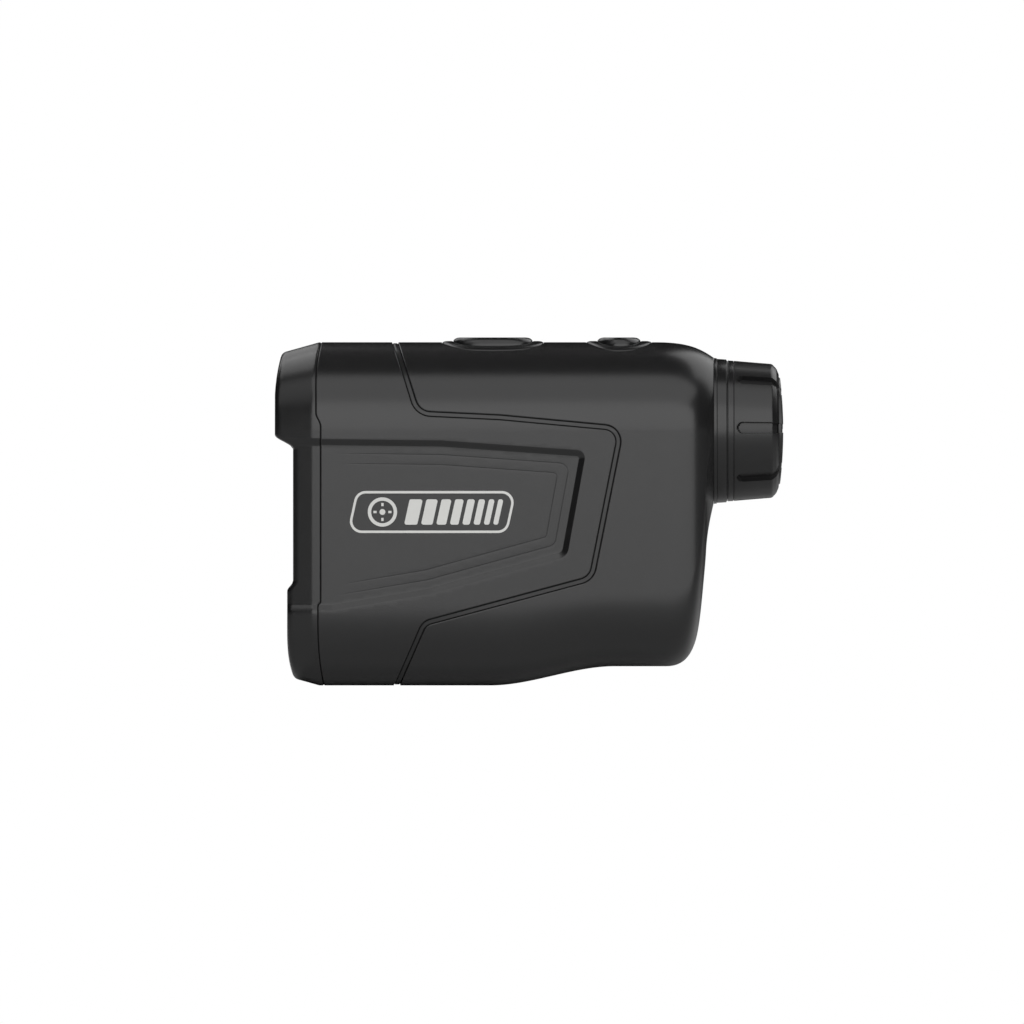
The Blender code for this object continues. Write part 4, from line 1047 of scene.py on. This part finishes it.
def make_badge():
    """Generic badge on both side panels: a sighting ring and narrowing bars in a thin frame."""
    pale = material("badge_pale", (0.62, 0.62, 0.60), 0.42, grain=0.4, bump=0.05, wear=0.0)
    dark = material("badge_dark", (0.012, 0.012, 0.012), 0.35, grain=0.4, bump=0.05)
    low, high = np.array(BADGE_LOW), np.array(BADGE_HIGH)
    floor = HALF_WIDTH - PANEL_DEPTH - 0.25
    frame_shape = [(slanted(low, high, 2.4), [slanted(low + 0.5, high - 0.5, 1.95)])]
    field = [(slanted(low + 0.45, high - 0.45, 1.95), [])]
    centre = np.array([low[0] + 6.3, (low[1] + high[1]) / 2])
    turn = np.linspace(0, 2 * math.pi, 64, endpoint=False)
    circle = np.stack([np.cos(turn), np.sin(turn)], axis=1)
    outer, inner, dot = [centre + circle * radius for radius in BADGE_RING]
    marks = [(outer, [inner]), (dot, [])]
    tick = np.array(BADGE_TICK)
    for dx, dz in ((1, 0), (-1, 0), (0, 1), (0, -1)):
        spun = np.stack([tick[:, 0] * dz + tick[:, 1] * dx, tick[:, 1] * dz - tick[:, 0] * dx], axis=1)
        marks.append((centre + spun, []))
    x, width = centre[0] + 5.0, BAR_WIDTH
    for _ in range(BARS):
        marks.append((slanted((x, low[1] + BAR_INSET), (x + width, high[1] - BAR_INSET), 0.42), []))
        x += width + BAR_GAP
        width *= BAR_RATIO
    for side, tag in ((-1, "left"), (1, "right")):
        plate(f"badge_frame_{tag}", frame_shape, side, floor, floor + 0.42, pale)
        plate(f"badge_field_{tag}", field, side, floor, floor + 0.34, dark)
        plate(f"badge_marks_{tag}", marks, side, floor + 0.3, floor + 0.46, pale)


def finish_cad():
    """Procedural finishes for the CAD pieces that stay visible or sit inside."""
    for part in frame["record"]["subparts"]:
        mesh = frame["nodes"][part["node"]].data
        mesh.materials.clear()
        mesh.materials.append(FINISHES[part["material_slot"]])


FLOOR_REACH = 3.0         # metres
# name, centre, target and size in metres, power in watts
LIGHTS = (
    ("front_box", (0.65, -1.0, 0.50), (0.65, 0.0, 0.50), (2.3, 1.0), 15.0),
    ("top_box", (0.41, -0.57, 1.05), (0.41, -0.57, 0.0), (1.6, 0.92), 6.2),
    ("upper_left_box", (-0.40, 0.65, 1.05), (-0.40, 0.65, 0.0), (0.42, 0.9), 1.6),
    ("left_front_box", (-0.62, -0.45, 1.05), (-0.40, -0.20, 0.0), (0.45, 0.9), 0.9),
    ("rear_left_box", (-0.47, 1.30, 0.85), (0.0, 0.0, 0.05), (0.75, 0.8), 1.5),
    ("rear_right_box", (0.72, 0.78, 0.85), (0.0, 0.0, 0.05), (1.1, 1.1), 4.8),
)


def area_light(name, centre, target, size, power):
    """Soft box aimed from its centre at a target."""
    data = bpy.data.lights.new(name, "AREA")
    data.shape = "RECTANGLE"
    data.size, data.size_y = size
    data.energy = power
    item = bpy.data.objects.new(name, data)
    item.location = centre
    item.rotation_euler = (Vector(target) - Vector(centre)).to_track_quat("-Z", "Y").to_euler()
    item.visible_camera = False
    bpy.context.collection.objects.link(item)
    return item


def make_studio():
    """Floor, white surroundings that only the camera sees, and soft boxes; rear ones skip the floor."""
    world = bpy.data.worlds.new("surroundings")
    world.use_nodes = True
    world.node_tree.nodes["Background"].inputs["Color"].default_value = (1, 1, 1, 1)
    bpy.context.scene.world = world
    for ray in ("diffuse", "glossy", "transmission"):
        setattr(world.cycles_visibility, ray, False)
    mesh = bpy.data.meshes.new("floor")
    corners = [(x * FLOOR_REACH, y * FLOOR_REACH, 0) for x, y in ((-1, -1), (1, -1), (1, 1), (-1, 1))]
    mesh.from_pydata(corners, [], [(0, 1, 2, 3)])
    floor = bpy.data.objects.new("floor", mesh)
    bpy.context.collection.objects.link(floor)
    pale = bpy.data.materials.new("floor_pale")
    pale.use_nodes = True
    shader = pale.node_tree.nodes["Principled BSDF"]
    shader.inputs["Base Color"].default_value = (0.80, 0.80, 0.80, 1)
    shader.inputs["Roughness"].default_value = 0.9
    mesh.materials.append(pale)
    unlit = bpy.data.collections.new("not_lit_from_behind")
    unlit.objects.link(floor)
    unlit.collection_objects[0].light_linking.link_state = "EXCLUDE"
    for name, centre, target, size, power in LIGHTS:
        lamp = area_light(name, centre, target, size, power)
        if name.startswith("rear"):
            lamp.light_linking.receiver_collection = unlit


# Camera, in metres and radians
VIEW_CENTRE = (-0.0035, 0.0355)    # the point of the mid plane, in X and Z, that it looks at
VIEW_WIDTH = 0.2096
VIEW_DISTANCE = 0.6
VIEW_TURN = -0.004        # keeps its rays from running exactly along the walls of the joints


def make_camera():
    """Camera on the left side."""
    data = bpy.data.cameras.new("camera")
    data.type = "ORTHO"
    data.ortho_scale = VIEW_WIDTH
    item = bpy.data.objects.new("camera", data)
    x, z = VIEW_CENTRE
    item.location = (x + VIEW_DISTANCE * math.sin(VIEW_TURN), -VIEW_DISTANCE, z)
    item.rotation_euler = (math.pi / 2, 0, VIEW_TURN)
    bpy.context.collection.objects.link(item)
    bpy.context.scene.camera = item


make_bezel()
make_housings()
make_buttons()
make_optics()
make_eyepiece()
make_eyecup()
make_cap()
make_badge()
finish_cad()
make_studio()
make_camera()
bpy.context.scene.view_settings.view_transform = "Standard"
